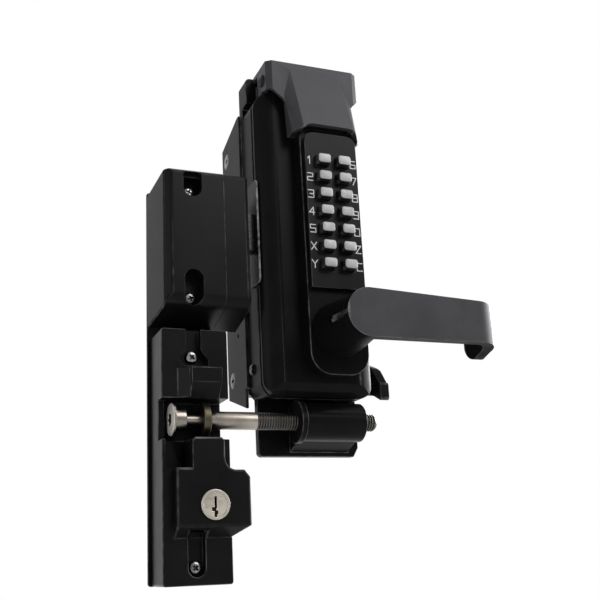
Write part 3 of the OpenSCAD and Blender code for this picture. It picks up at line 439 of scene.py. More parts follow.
def blend(tree, factor, first, second):
    """A mix of two colours, each a socket or three numbers"""
    node = tree.nodes.new("ShaderNodeMix")
    node.data_type = "RGBA"
    tree.links.new(factor, node.inputs["Factor"])
    for value, socket in ((first, node.inputs[6]), (second, node.inputs[7])):
        if isinstance(value, bpy.types.NodeSocket):
            tree.links.new(value, socket)
        else:
            socket.default_value = (*value, 1)
    return node.outputs[2]


def combined(tree, operation, first, second):
    """Two values put through one of the Math node's operations"""
    node = tree.nodes.new("ShaderNodeMath")
    node.operation = operation
    tree.links.new(first, node.inputs[0])
    tree.links.new(second, node.inputs[1])
    return node.outputs[0]


def bump(tree, shader, height, strength, distance):
    node = tree.nodes.new("ShaderNodeBump")
    node.inputs["Strength"].default_value = strength
    node.inputs["Distance"].default_value = distance
    tree.links.new(height, node.inputs["Height"])
    tree.links.new(node.outputs["Normal"], shader.inputs["Normal"])


def powder_coat(name, colour, gloss, specular, rim=None):
    """Powder coat: fine orange peel, a little unevenness in its sheen, and edges lightened to the colour
    rim: wear on them together with a painted highlight"""
    material, tree, shader = new_material(name)
    place = object_place(tree)
    peel = noise(tree, place, scale=1400, detail=3)
    cloud = noise(tree, place, scale=38, detail=4, roughness=0.6)
    specks = noise(tree, place, scale=2600, detail=1)
    edge_breakup = noise(tree, place, scale=160, detail=3)
    dark = shade(colour, 0.9)
    light = shade(colour, 1.15, lift=0.0004)
    dusty = shade(colour, 1, lift=0.012)
    # the edges' colour: wear together with a painted highlight on them
    rubbed_and_lit = rim or shade(colour, 2, lift=0.085)
    tone = blend(tree, spread(tree, cloud, 0, 1), dark, light)
    tone = blend(tree, spread(tree, specks, 0, 0.5, start=0.70, end=0.80), tone, dusty)
    # where the edges take it: stored wear and painted highlight, broken up by noise
    edge = combined(tree, "MULTIPLY", edge_wear(tree), spread(tree, edge_breakup, 0.15, 0.9))
    tree.links.new(blend(tree, edge, tone, rubbed_and_lit), shader.inputs["Base Color"])
    tree.links.new(spread(tree, cloud, gloss - 0.02, gloss + 0.03), shader.inputs["Roughness"])
    shader.inputs["Specular IOR Level"].default_value = specular
    bump(tree, shader, peel, strength=0.22, distance=0.00012)
    return material


def drawn_metal(name, colour, gloss, along=(1, 1, 1), rim=None, metallic=1):
    """Metal with fine lines; along stretches them: a low number lies along the lines. Its edges
    take the colour rim: a painted highlight together with wear"""
    material, tree, shader = new_material(name)
    place = object_place(tree)
    mapping = tree.nodes.new("ShaderNodeMapping")
    mapping.inputs["Scale"].default_value = along
    tree.links.new(place, mapping.inputs["Vector"])
    lines = noise(tree, mapping.outputs["Vector"], scale=1500, detail=2)
    cloud = noise(tree, place, scale=60, detail=3)
    dark = shade(colour, 0.80)
    light = shade(colour, 1.12)
    # the edges' colour: a painted highlight together with wear
    glint_and_wear = rim or shade(colour, 1.3, lift=0.05)
    tone = blend(tree, spread(tree, cloud, 0, 1), dark, light)
    edge = combined(tree, "MULTIPLY", edge_wear(tree), spread(tree, cloud, 0.2, 0.8))
    tree.links.new(blend(tree, edge, tone, glint_and_wear), shader.inputs["Base Color"])
    shader.inputs["Metallic"].default_value = metallic
    tree.links.new(spread(tree, lines, gloss - 0.07, gloss + 0.07), shader.inputs["Roughness"])
    bump(tree, shader, lines, strength=0.3, distance=0.00003)
    return material


def turned_metal(name, colour, gloss, centre, axis):
    """Metal turned on a lathe: fine rings about an axis through centre, which is given in mm"""
    material, tree, shader = new_material(name)
    place = object_place(tree)
    mapping = tree.nodes.new("ShaderNodeMapping")
    mapping.vector_type = "POINT"
    mapping.inputs["Location"].default_value = tuple(-value * MM for value in centre)
    tree.links.new(place, mapping.inputs["Vector"])
    rings = tree.nodes.new("ShaderNodeTexWave")
    rings.wave_type = "RINGS"
    rings.rings_direction = axis
    rings.inputs["Scale"].default_value = 900
    rings.inputs["Distortion"].default_value = 1.2
    rings.inputs["Detail"].default_value = 3
    tree.links.new(mapping.outputs["Vector"], rings.inputs["Vector"])
    cloud = noise(tree, place, scale=90, detail=3)
    dark = shade(colour, 0.78)
    # the edges' colour: a painted highlight together with wear
    glint_and_wear = shade(colour, 1.25, lift=0.04)
    tone = blend(tree, spread(tree, cloud, 0, 1), dark, colour)
    edge = combined(tree, "MULTIPLY", edge_wear(tree), spread(tree, cloud, 0.3, 0.9))
    tree.links.new(blend(tree, edge, tone, glint_and_wear), shader.inputs["Base Color"])
    shader.inputs["Metallic"].default_value = 1
    sheen = spread(tree, rings.outputs["Fac"], gloss - 0.05, gloss + 0.08, start=0, end=1)
    tree.links.new(sheen, shader.inputs["Roughness"])
    bump(tree, shader, rings.outputs["Fac"], strength=0.12, distance=0.00004)
    return material


def rubber(name, colour):
    """Dull rubber with a fine grain"""
    material, tree, shader = new_material(name)
    grain = noise(tree, object_place(tree), scale=900, detail=4)
    light = shade(colour, 2, lift=0.002)
    tree.links.new(blend(tree, spread(tree, grain, 0, 1), colour, light), shader.inputs["Base Color"])
    tree.links.new(spread(tree, grain, 0.6, 0.8), shader.inputs["Roughness"])
    shader.inputs["Specular IOR Level"].default_value = 0.3
    bump(tree, shader, grain, strength=0.3, distance=0.0001)
    return material


def label_paint(name, colour):
    """Printed paint, a little uneven"""
    material, tree, shader = new_material(name)
    cloud = noise(tree, object_place(tree), scale=700, detail=3)
    dark = shade(colour, 0.7)
    tree.links.new(blend(tree, spread(tree, cloud, 0, 1), dark, colour), shader.inputs["Base Color"])
    tree.links.new(spread(tree, cloud, 0.4, 0.55), shader.inputs["Roughness"])
    bump(tree, shader, cloud, strength=0.15, distance=0.00005)
    return material


# How much the fine lines are stretched: along X, along Z, on the key plug and on the buttons' tops;
# then the axes of the turned pieces
LINES_X = (0.06, 1, 1)
LINES_Z = (1, 1, 0.05)
LINES_PLUG = (0.08, 1, 1)
LINES_TOP = (1, 1, 0.15)
STRIKER_TURNING = {"centre": (0, STRIKER_Y, STRIKER_Z), "axis": "X"}
CYLINDER_TURNING = {"centre": (CYLINDER_X, 0, CYLINDER_Z), "axis": "Y"}

FINISHES = {
    "case_coat": lambda name: powder_coat(name, colours().case, gloss=0.30, specular=0.055),
    "body_coat": lambda name: powder_coat(name, colours().case, gloss=0.30, specular=0.034),
    "hood_coat": lambda name: powder_coat(name, colours().hood, gloss=0.40, specular=0.12),
    # the black case colour on the levers' hubs, tops, undersides and inner faces: painted shade
    "lever_flank": lambda name: powder_coat(name, colours().case, gloss=0.38, specular=0.012),
    "button_flank": lambda name: powder_coat(name, colours().case, gloss=0.42, specular=0.2),
    "button_top": lambda name: drawn_metal(name, colours().button, gloss=0.52, along=LINES_TOP,
                                           metallic=0.3),
    "label_paint": lambda name: label_paint(name, colours().label),
    "seal_rubber": lambda name: rubber(name, colours().seal),
    "plain_steel": lambda name: drawn_metal(name, colours().steel, gloss=0.40, along=LINES_X),
    "upright_steel": lambda name: drawn_metal(name, colours().steel, gloss=0.36, along=LINES_Z),
    "spring_steel": lambda name: drawn_metal(name, colours().steel, gloss=0.25),
    # the faceplate's steel in a dark coat, painted shade for its dark reflections, with a light rim: a
    # painted highlight along its edges
    "plate_steel": lambda name: powder_coat(name, (0.005, 0.005, 0.0055), gloss=0.28, specular=0.05,
                                            rim=(0.34, 0.34, 0.34)),
    # the rims of latch and screws: painted glints on their edges, together with wear
    "latch_steel": lambda name: drawn_metal(name, (0.030, 0.030, 0.032), gloss=0.34, along=LINES_X,
                                            rim=(0.12, 0.12, 0.12)),
    "screw_steel": lambda name: drawn_metal(name, (0.016, 0.016, 0.017), gloss=0.24,
                                            rim=(0.42, 0.42, 0.42)),
    "dark_screw": lambda name: powder_coat(name, (0.004, 0.004, 0.0042), gloss=0.32, specular=0.1,
                                           rim=(0.05, 0.05, 0.05)),
    "striker_steel": lambda name: turned_metal(name, colours().striker, gloss=0.30, **STRIKER_TURNING),
    # a darker copy of the striker's steel: painted shade on the thread
    "thread_steel": lambda name: turned_metal(name, (0.035, 0.032, 0.028), gloss=0.34, **STRIKER_TURNING),
    # a lighter, less metallic steel: painted light on the head's face
    "head_steel": lambda name: drawn_metal(name, (0.36, 0.34, 0.31), gloss=0.46, metallic=0.35),
    "washer_bronze": lambda name: turned_metal(name, colours().washer, gloss=0.36, **STRIKER_TURNING),
    "cylinder_nickel": lambda name: turned_metal(name, colours().nickel, gloss=0.30, **CYLINDER_TURNING),
    "plug_nickel": lambda name: drawn_metal(name, colours().nickel, gloss=0.34, along=LINES_PLUG),
}
MATERIALS = {}


def finish(name):
    """The named finish, made when first asked for"""
    if name not in MATERIALS:
        MATERIALS[name] = FINISHES[name](name)
    return MATERIALS[name]


# Meshes

# Points nearer than this, in metres, are one; and a rounded edge may leave the CAD surface by this
# share of its width
WELD = 2e-6
EDGE_REACH = 0.45


def new_piece(name, mesh):
    piece = bpy.data.objects.new(name, mesh)
    bpy.context.scene.collection.objects.link(piece)
    return piece


def baked(piece):
    """The piece with its modifiers worked into a plain mesh"""
    graph = bpy.context.evaluated_depsgraph_get()
    graph.update()
    mesh = bpy.data.meshes.new_from_object(piece.evaluated_get(graph), preserve_all_data_layers=True,
                                           depsgraph=graph)
    name = piece.name
    old = piece.data
    bpy.data.objects.remove(piece)
    if old.users == 0:
        bpy.data.meshes.remove(old)
    return new_piece(name, mesh)


def smooth(mesh, sharp=None):
    """Shades a mesh smooth; edges over the angle sharp, in degrees, stay crisp"""
    mesh.polygons.foreach_set("use_smooth", [True] * len(mesh.polygons))
    if sharp:
        mesh.set_sharp_from_angle(angle=math.radians(sharp))


def store_wear_and_glint(mesh, values):
    """Stores how far each vertex is worn and carries a painted highlight, for the materials"""
    layer = mesh.attributes.get("edge_wear") or mesh.attributes.new("edge_wear", "FLOAT", "POINT")
    layer.data.foreach_set("value", values)


def mark_wear_and_glint(mesh, start=14, full=34, strip=1.2):
    """Marks the outer edges for wear and a painted highlight: not at all where the surface turns by
    less than start degrees, fully from full degrees on. A vertex on a face wider than strip, in mm,
    stays unmarked, so that wear and painted highlight keep to the bevels"""
    form = bmesh.new()
    form.from_mesh(mesh)
    widths = {}
    for face in form.faces:
        widths[face] = 2 * face.calc_area() / max(face.calc_perimeter(), 1e-9) / MM
    values = []
    for vertex in form.verts:
        if any(widths[face] > strip for face in vertex.link_faces):
            values.append(0)
            continue
        edges = [edge for edge in vertex.link_edges if edge.is_manifold]
        sharpest = max((math.degrees(edge.calc_face_angle_signed(0)) for edge in edges), default=0)
        values.append(min(1, max(0, (sharpest - start) / (full - start))))
    form.free()
    store_wear_and_glint(mesh, values)


def settle(piece, material, body, replaced=()):
    """Gives a finished piece its body and, unless its mesh has several of its own, its material; and hides
    the nodes it stands for"""
    if material is not None:
        piece.data.materials.clear()
        piece.data.materials.append(material)
    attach(piece, body)
    if replaced:
        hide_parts(*replaced)
    return piece


def weigh_edges(mesh, angle, flat, wide):
    """Welds a CAD mesh, joins its flat faces and gives its edges their shares of the bevel"""
    form = bmesh.new()
    form.from_mesh(mesh)
    bmesh.ops.remove_doubles(form, verts=form.verts, dist=WELD)
    bmesh.ops.dissolve_limit(form, angle_limit=math.radians(flat), verts=form.verts, edges=form.edges)
    weights = form.edges.layers.float.new("bevel_weight_edge")
    for edge in form.edges:
        if edge.is_manifold and edge.calc_face_angle(0) >= math.radians(angle):
            middle = (edge.verts[0].co + edge.verts[1].co) / 2
            edge[weights] = 1 if wide is None else wide(middle)
    form.to_mesh(mesh)
    form.free()


def crisp(node, name, width, material, segments=3, angle=28, wide=None, flat=0.6, sharp=None):
    """A copy of a CAD node with rounded edges that stands for it. Faces within flat degrees of each
    other are joined, edges over sharp degrees stay crisp, and wide gives an edge's share of the
    width from its middle in metres"""
    mesh = frame["nodes"][node].data.copy()
    mesh.materials.clear()
    weigh_edges(mesh, angle, flat, wide)
    smooth(mesh)
    piece = new_piece(name, mesh)
    original = BVHTree.FromPolygons([vertex.co.copy() for vertex in mesh.vertices],
                                    [tuple(face.vertices) for face in mesh.polygons])
    if width > 0:
        edges = piece.modifiers.new("edges", "BEVEL")
        edges.width = width
        edges.segments = segments
        edges.limit_method = "WEIGHT"
        edges.use_clamp_overlap = False
        edges.harden_normals = False
        edges.face_strength_mode = "FSTR_ALL"
        piece = baked(piece)
        for vertex in piece.data.vertices:
            spot, _, _, distance = original.find_nearest(vertex.co)
            if distance > width * EDGE_REACH:
                vertex.co = spot
    if sharp:
        piece.data.set_sharp_from_angle(angle=math.radians(sharp))
    normals = piece.modifiers.new("normals", "WEIGHTED_NORMAL")
    normals.weight = 80
    normals.use_face_influence = width > 0
    normals.keep_sharp = bool(sharp)
    piece = baked(piece)
    mark_wear_and_glint(piece.data)
    return settle(piece, finish(material), BODY_OF[node], (node,))


def join_mesh(piece, other, number):
    """Adds another piece's mesh to a piece, its faces with the given material number"""
    start = len(piece.data.polygons)
    form = bmesh.new()
    form.from_mesh(piece.data)
    form.from_mesh(other.data)
    form.faces.ensure_lookup_table()
    for face in form.faces[start:]:
        face.material_index = number
    form.to_mesh(piece.data)
    form.free()
    bpy.data.objects.remove(other)


def between(start, end, share):
    """The value a share of the way from start to end"""
    return start + (end - start) * share


def ring(half_width, half_height, corner, count=6):
    """Points of a rounded rectangle about the origin, anticlockwise"""
    points = []
    corner = min(corner, half_width, half_height)
    for index, (side_x, side_y) in enumerate(((1, 1), (-1, 1), (-1, -1), (1, -1))):
        centre_x = side_x * (half_width - corner)
        centre_y = side_y * (half_height - corner)
        for step in range(count + 1):
            turn = math.radians(90 * index + 90 * step / count)
            points.append((centre_x + corner * math.cos(turn), centre_y + corner * math.sin(turn)))
    return points


def loft(rings):
    """A closed form through rings of points of equal count; returns the form and its bands of
    faces, of which the last is the cap at the end"""
    form = bmesh.new()
    rows = [[form.verts.new(point) for point in points] for points in rings]
    bands = []
    count = len(rows[0])
    for lower, upper in zip(rows, rows[1:]):
        band = []
        for index in range(count):
            after = (index + 1) % count
            band.append(form.faces.new((lower[index], lower[after], upper[after], upper[index])))
        bands.append(band)
    form.faces.new(list(reversed(rows[0])))
    bands.append([form.faces.new(rows[-1])])
    return form, bands


def form_to_mesh(form, name, sharp=32):
    bmesh.ops.recalc_face_normals(form, faces=form.faces)
    mesh = bpy.data.meshes.new(name)
    form.to_mesh(mesh)
    form.free()
    smooth(mesh, sharp)
    return mesh


def turned(profile, origin, axis, steps):
    """A closed form turned about an axis: profile is a list of (along, radius) in mm"""
    direction = Vector(axis)
    side = direction.orthogonal().normalized()
    other = direction.cross(side)
    spokes = []
    for index in range(steps):
        turn = 2 * math.pi * index / steps
        spokes.append(side * math.cos(turn) + other * math.sin(turn))
    rings = []
    for along, radius in profile:
        centre = Vector(origin) + direction * along
        rings.append([(centre + spoke * max(radius, LEAST_RADIUS)) * MM for spoke in spokes])
    form, _ = loft(rings)
    return form


def cut_away(piece, tool, sharp, own_overlaps=False):
    """The piece less another one, its edges over sharp degrees crisp; own_overlaps is for a tool
    whose parts cross each other"""
    cut = piece.modifiers.new("cut", "BOOLEAN")
    cut.operation = "DIFFERENCE"
    cut.object = tool
    cut.solver = "EXACT"
    cut.use_self = own_overlaps
    piece = baked(piece)
    bpy.data.objects.remove(tool)
    smooth(piece.data, sharp)
    return piece


# Geometry Nodes

def new_tree(name, inputs):
    """An empty tree, with inputs that each give a label, a kind of socket and a default"""
    tree = bpy.data.node_groups.new(name, "GeometryNodeTree")
    tree.is_modifier = True
    tree.interface.new_socket("Geometry", in_out="INPUT", socket_type="NodeSocketGeometry")
    for label, kind, value in inputs:
        socket = tree.interface.new_socket(label, in_out="INPUT", socket_type=kind)
        if value is not None:
            socket.default_value = value
    tree.interface.new_socket("Geometry", in_out="OUTPUT", socket_type="NodeSocketGeometry")
    source = tree.nodes.new("NodeGroupInput")
    target = tree.nodes.new("NodeGroupOutput")
    return tree, source, target


def finish_tree(tree, target, geometry, source):
    """Ends a tree in Realize Instances and Set Material"""
    realise = tree.nodes.new("GeometryNodeRealizeInstances")
    paint = tree.nodes.new("GeometryNodeSetMaterial")
    tree.links.new(geometry, realise.inputs["Geometry"])
    tree.links.new(realise.outputs["Geometry"], paint.inputs["Geometry"])
    tree.links.new(source.outputs["Material"], paint.inputs["Material"])
    tree.links.new(paint.outputs["Geometry"], target.inputs["Geometry"])


def set_inputs(modifier, values):
    """Sets a modifier's inputs by the identifiers of their sockets"""
    for item in modifier.node_group.interface.items_tree:
        if item.item_type == "SOCKET" and item.in_out == "INPUT" and item.name in values:
            modifier[item.identifier] = values[item.name]


def winding_tree():
    """A round wire wound about a line: used for the striker's thread and the return spring"""
    tree, source, target = new_tree("wound_wire", (
        ("Radius", "NodeSocketFloat", 0.006), ("Wire", "NodeSocketFloat", 0.0006),
        ("Length", "NodeSocketFloat", 0.03), ("Turns", "NodeSocketFloat", 8.0),
        ("Sides", "NodeSocketInt", 8), ("Steps", "NodeSocketInt", 32),
        ("Start", "NodeSocketVector", (0, 0, 0)), ("Direction", "NodeSocketVector", (0, 0, 0)),
        ("Material", "NodeSocketMaterial", None)))
    spiral = tree.nodes.new("GeometryNodeCurveSpiral")
    profile = tree.nodes.new("GeometryNodeCurvePrimitiveCircle")
    sweep = tree.nodes.new("GeometryNodeCurveToMesh")
    place = tree.nodes.new("GeometryNodeTransform")
    even = tree.nodes.new("GeometryNodeSetShadeSmooth")
    sweep.inputs["Fill Caps"].default_value = True
    for name, socket in (("Steps", "Resolution"), ("Turns", "Rotations"), ("Radius", "Start Radius"),
                         ("Radius", "End Radius"), ("Length", "Height")):
        tree.links.new(source.outputs[name], spiral.inputs[socket])
    tree.links.new(source.outputs["Sides"], profile.inputs["Resolution"])
    tree.links.new(source.outputs["Wire"], profile.inputs["Radius"])
    tree.links.new(spiral.outputs["Curve"], sweep.inputs["Curve"])
    tree.links.new(profile.outputs["Curve"], sweep.inputs["Profile Curve"])
    tree.links.new(sweep.outputs["Mesh"], even.inputs["Geometry"])
    tree.links.new(even.outputs["Geometry"], place.inputs["Geometry"])
    tree.links.new(source.outputs["Start"], place.inputs["Translation"])
    tree.links.new(source.outputs["Direction"], place.inputs["Rotation"])
    finish_tree(tree, target, place.outputs["Geometry"], source)
    return tree


def screw_tree():
    """One screw set at every point, turned as the point's attribute says"""
    tree, source, target = new_tree("screw_row", (
        ("Screw", "NodeSocketObject", None), ("Material", "NodeSocketMaterial", None)))
    screw = tree.nodes.new("GeometryNodeObjectInfo")
    place = tree.nodes.new("GeometryNodeInstanceOnPoints")
    facing = tree.nodes.new("GeometryNodeInputNamedAttribute")
    facing.data_type = "FLOAT_VECTOR"
    facing.inputs["Name"].default_value = "facing"
    tree.links.new(source.outputs["Screw"], screw.inputs["Object"])
    tree.links.new(source.outputs["Geometry"], place.inputs["Points"])
    tree.links.new(screw.outputs["Geometry"], place.inputs["Instance"])
    tree.links.new(facing.outputs["Attribute"], place.inputs["Rotation"])
    finish_tree(tree, target, place.outputs["Instances"], source)
    return tree


TREES = {}


def grown(piece, maker, values):
    """The piece put through the tree that maker makes, with the given inputs, and baked"""
    if maker not in TREES:
        TREES[maker] = maker()
    modifier = piece.modifiers.new("growth", "NODES")
    modifier.node_group = TREES[maker]
    set_inputs(modifier, values)
    return baked(piece)


def wound(name, radius, wire, length, turns, sides, steps, start, direction, material):
    """A wire wound about a line from start, turned by direction"""
    piece = new_piece(name, bpy.data.meshes.new(name))
    return grown(piece, winding_tree, {
        "Radius": radius, "Wire": wire, "Length": length, "Turns": turns, "Sides": sides, "Steps": steps,
        "Start": start, "Direction": direction, "Material": material})


def add_slot(form, turn, upper, lower):
    """Adds one slot of a screw's cross to a form, turned in degrees: its two levels each give half
    length, half width and height in mm"""
    spin = Matrix.Rotation(math.radians(turn), 4, "Z")
    rows = []
    for half_long, half_wide, level in (upper, lower):
        corners = ((-half_long, -half_wide), (half_long, -half_wide), (half_long, half_wide),
                   (-half_long, half_wide))
        rows.append([form.verts.new(spin @ (Vector((x, y, level)) * MM)) for x, y in corners])
    top, bottom = rows
    form.faces.new(top)
    form.faces.new(list(reversed(bottom)))
    for index in range(4):
        after = (index + 1) % 4
        form.faces.new((bottom[index], bottom[after], top[after], top[index]))


def screw_form(radius, head, head_h, length, flush=False, recess=0.5):
    """A cross-recess screw: its seat is z = 0, its shank runs down, with ridges for its thread.
    Radius of shank and head, height of the head and length are in mm, recess is the cross's share
    of the head"""
    if flush:
        top = [(-head_h, radius), (-head_h * 0.15, head * 0.96), (-HEAD_CHAMFER, head), (0, head * 0.97)]
        face = 0
        depth = head_h * 0.8
    else:
        top = [(0, radius), (0, head * 0.97), (HEAD_CHAMFER, head), (head_h * 0.5, head * 0.99),
               (head_h * 0.78, head * 0.86), (head_h * 0.93, head * 0.66), (head_h, head * 0.42)]
        face = head_h
        depth = head_h * 0.75
    start = radius * 1.6 - length
    shank = [(-length, 0), (-length, radius * 0.35), (start, radius * 0.8)]
    ridges = max(0, min(int((length - radius * 2 - head_h * 2) / RIDGE_PITCH), RIDGE_MOST))
    for index in range(ridges):
        shank.append((start + RIDGE_PITCH * (index + 0.5), radius))
        shank.append((start + RIDGE_PITCH * (index + 1), radius * 0.82))
    shank.append((start + RIDGE_PITCH * max(1, ridges) + 0.3, radius))
    form = turned(shank + top + [(top[-1][0], 0)], (0, 0, 0), (0, 0, 1), SCREW_STEPS)
    blank = new_piece("screw_blank", form_to_mesh(form, "screw_blank", sharp=40))
    bite = bmesh.new()
    for turn, rise, sink in SLOT_TURNS:
        add_slot(bite, turn, (head * recess, head * SLOT_TOP, face + rise),
                 (head * recess * SLOT_TAPER, head * SLOT_BOTTOM, face - depth - sink))
    tool = new_piece("screw_bite", form_to_mesh(bite, "screw_bite"))
    blank = cut_away(blank, tool, sharp=38, own_overlaps=True)
    places = [vertex.co / MM for vertex in blank.data.vertices]
    # the head's face takes a painted glint
    shines = [place.z > head_h * 0.6 and place.xy.length < head * 0.9 for place in places]
    store_wear_and_glint(blank.data, [FACE_GLINT if shining else REST_GLINT for shining in shines])
    return blank


def screw_row(name, node, coat, slot, blank, points, glint_and_wear=False):
    """Screws of the sizes in blank at points, each of which gives a place in mm and a turn in degrees
    about X, Y and Z. A bright one has a painted glint on its head's face, any other wear and a painted
    highlight on its edges alone"""
    screw = screw_form(**blank)
    mesh = bpy.data.meshes.new(name)
    mesh.from_pydata([tuple(value * MM for value in place) for place, _ in points], [], [])
    layer = mesh.attributes.new("facing", "FLOAT_VECTOR", "POINT")
    layer.data.foreach_set("vector", [math.radians(value) for _, turn in points for value in turn])
    piece = grown(new_piece(name, mesh), screw_tree, {"Screw": screw, "Material": finish(coat)})
    bpy.data.objects.remove(screw)
    if not glint_and_wear:
        mark_wear_and_glint(piece.data, start=30, full=70, strip=5)
    return settle(piece, finish(coat), BODY_OF[node], (node,))


class LockOperator:
    """What all operators of the lock share"""
    bl_options = {"REGISTER", "UNDO"}


class GATELOCK_OT_case(LockOperator, bpy.types.Operator):
    """Base, case halves, seal and keypad body with their rounded edges"""
    bl_idname = "gatelock.case"
    bl_label = "Case"

    def execute(self, context):
        edge = sizes().shell_edge
        crisp("mounting_base", "base_casting", edge, "body_coat")
        crisp("rear_case", "rear_shell", edge * THIN_SHARE, "body_coat")
        crisp("front_case", "front_shell", edge * THIN_SHARE, "body_coat")
        crisp("keypad_body", "keypad_housing", edge * BODY_SHARE, "body_coat",
              wide=lambda middle: 1 if middle.y < -0.0525 and middle.z > -0.12 else 0.4)
        crisp("keypad_plate", "keypad_panel", edge * PLATE_SHARE, "case_coat",
              wide=lambda middle: 1 if middle.y < -0.058 else 0.3)
        crisp("case_seal", "case_gasket", edge * SEAL_SHARE, "seal_rubber")
        crisp("inside_rose", "inside_housing", edge * BODY_SHARE, "case_coat")
        return {"FINISHED"}


class GATELOCK_OT_hood(LockOperator, bpy.types.Operator):
    """Rain hood over the keypad"""
    bl_idname = "gatelock.hood"
    bl_label = "Rain hood"

    def execute(self, context):
        crisp("rain_hood", "hood_shell", 0, "hood_coat", flat=2.5, sharp=16)
        return {"FINISHED"}


class GATELOCK_OT_buttons(LockOperator, bpy.types.Operator):
    """Fourteen push buttons with crowned satin tops and flanks in a painted shade"""
    bl_idname = "gatelock.buttons"
    bl_label = "Buttons"

    def execute(self, context):
        for index in range(1, BUTTON_COUNT + 1):
            node = f"button_{index}"
            name = f"key_{index}"
            low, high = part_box(node)
            x = (low[0] + high[0]) / 2 / MM
            z = (low[2] + high[2]) / 2 / MM
            rings = [[Vector((x + across, y, z + up)) * MM for across, up in ring(*shape)]
                     for y, *shape in self.levels(high[1] / MM, low[1] / MM)]
            form, bands = loft(rings)
            # the flanks take a black coat: painted shade on the sides of the satin-metal button
            for band in bands[:SHADED_FLANK_BANDS]:
                for face in band:
                    face.material_index = 1
            mesh = form_to_mesh(form, name, sharp=40)
            mark_wear_and_glint(mesh, start=20, full=50)
            mesh.materials.append(finish("button_top"))
            mesh.materials.append(finish("button_flank"))
            settle(new_piece(name, mesh), None, BODY_OF[node], (node,))
        return {"FINISHED"}

    @staticmethod
    def levels(back, face):
        """The rings of a button from its back to its crown: place in Y, half width, half height and
        corner"""
        dome = sizes().button_dome / MM
        levels = [(back, *BUTTON_STEM), (STEM_END_Y, *BUTTON_STEM), *BUTTON_COLLAR,
                  (SHAFT_START_Y, *BUTTON_SHAFT), (PLATE_Y, *BUTTON_SHAFT)]
        for behind, *shape in BUTTON_CAP:
            levels.append((face + behind, *shape))
        rim = BUTTON_CAP[-1][1:]
        for share in CROWN_SHARES:
            levels.append((face - dome * (1 - share * share), *(value * share for value in rim)))
        return levels


class GATELOCK_OT_labels(LockOperator, bpy.types.Operator):
    """Figures and letters painted beside the buttons, each drawn with a few round-ended strokes"""
    bl_idname = "gatelock.labels"
    bl_label = "Key labels"

    def execute(self, context):
        form = bmesh.new()
        high = sizes().label_height / MM
        wide = high * LABEL_WIDTH
        for middle, letters in zip(LABEL_X, LABELS):
            for row, letter in enumerate(letters):
                x = middle - wide / 2
                z = FIRST_ROW_Z - row * ROW_PITCH - high / 2
                for line in STROKES[letter]:
                    points = [(x + across * wide, z + up * high) for across, up in line]
                    for number, (first, second) in enumerate(zip(points, points[1:])):
                        self.stroke(form, first, second, PAINT_RISE + PAINT_STEP * number)
        piece = new_piece("key_labels", form_to_mesh(form, "key_labels"))
        settle(piece, finish("label_paint"), BODY_OF["keypad_plate"], ())
        return {"FINISHED"}

    @staticmethod
    def stroke(form, first, second, rise):
        """One flat stroke with round ends, standing rise proud of the keypad plate"""
        run = Vector(second) - Vector(first)
        heading = math.atan2(run.y, run.x)
        outline = []
        for (centre_x, centre_z), turn in ((second, -90), (first, 90)):
            for step in range(ROUND_STEPS + 1):
                angle = heading + math.radians(turn + 180 * step / ROUND_STEPS)
                outline.append((centre_x + STROKE_HALF * math.cos(angle),
                                centre_z + STROKE_HALF * math.sin(angle)))
        back, front = [[form.verts.new(Vector((x, y, z)) * MM) for x, z in outline]
                       for y in (PLATE_Y + PAINT_SINK, PLATE_Y - rise)]
        form.faces.new(back)
        form.faces.new(list(reversed(front)))
        for index in range(len(outline)):
            after = (index + 1) % len(outline)
            form.faces.new((back[after], back[index], front[index], front[after]))


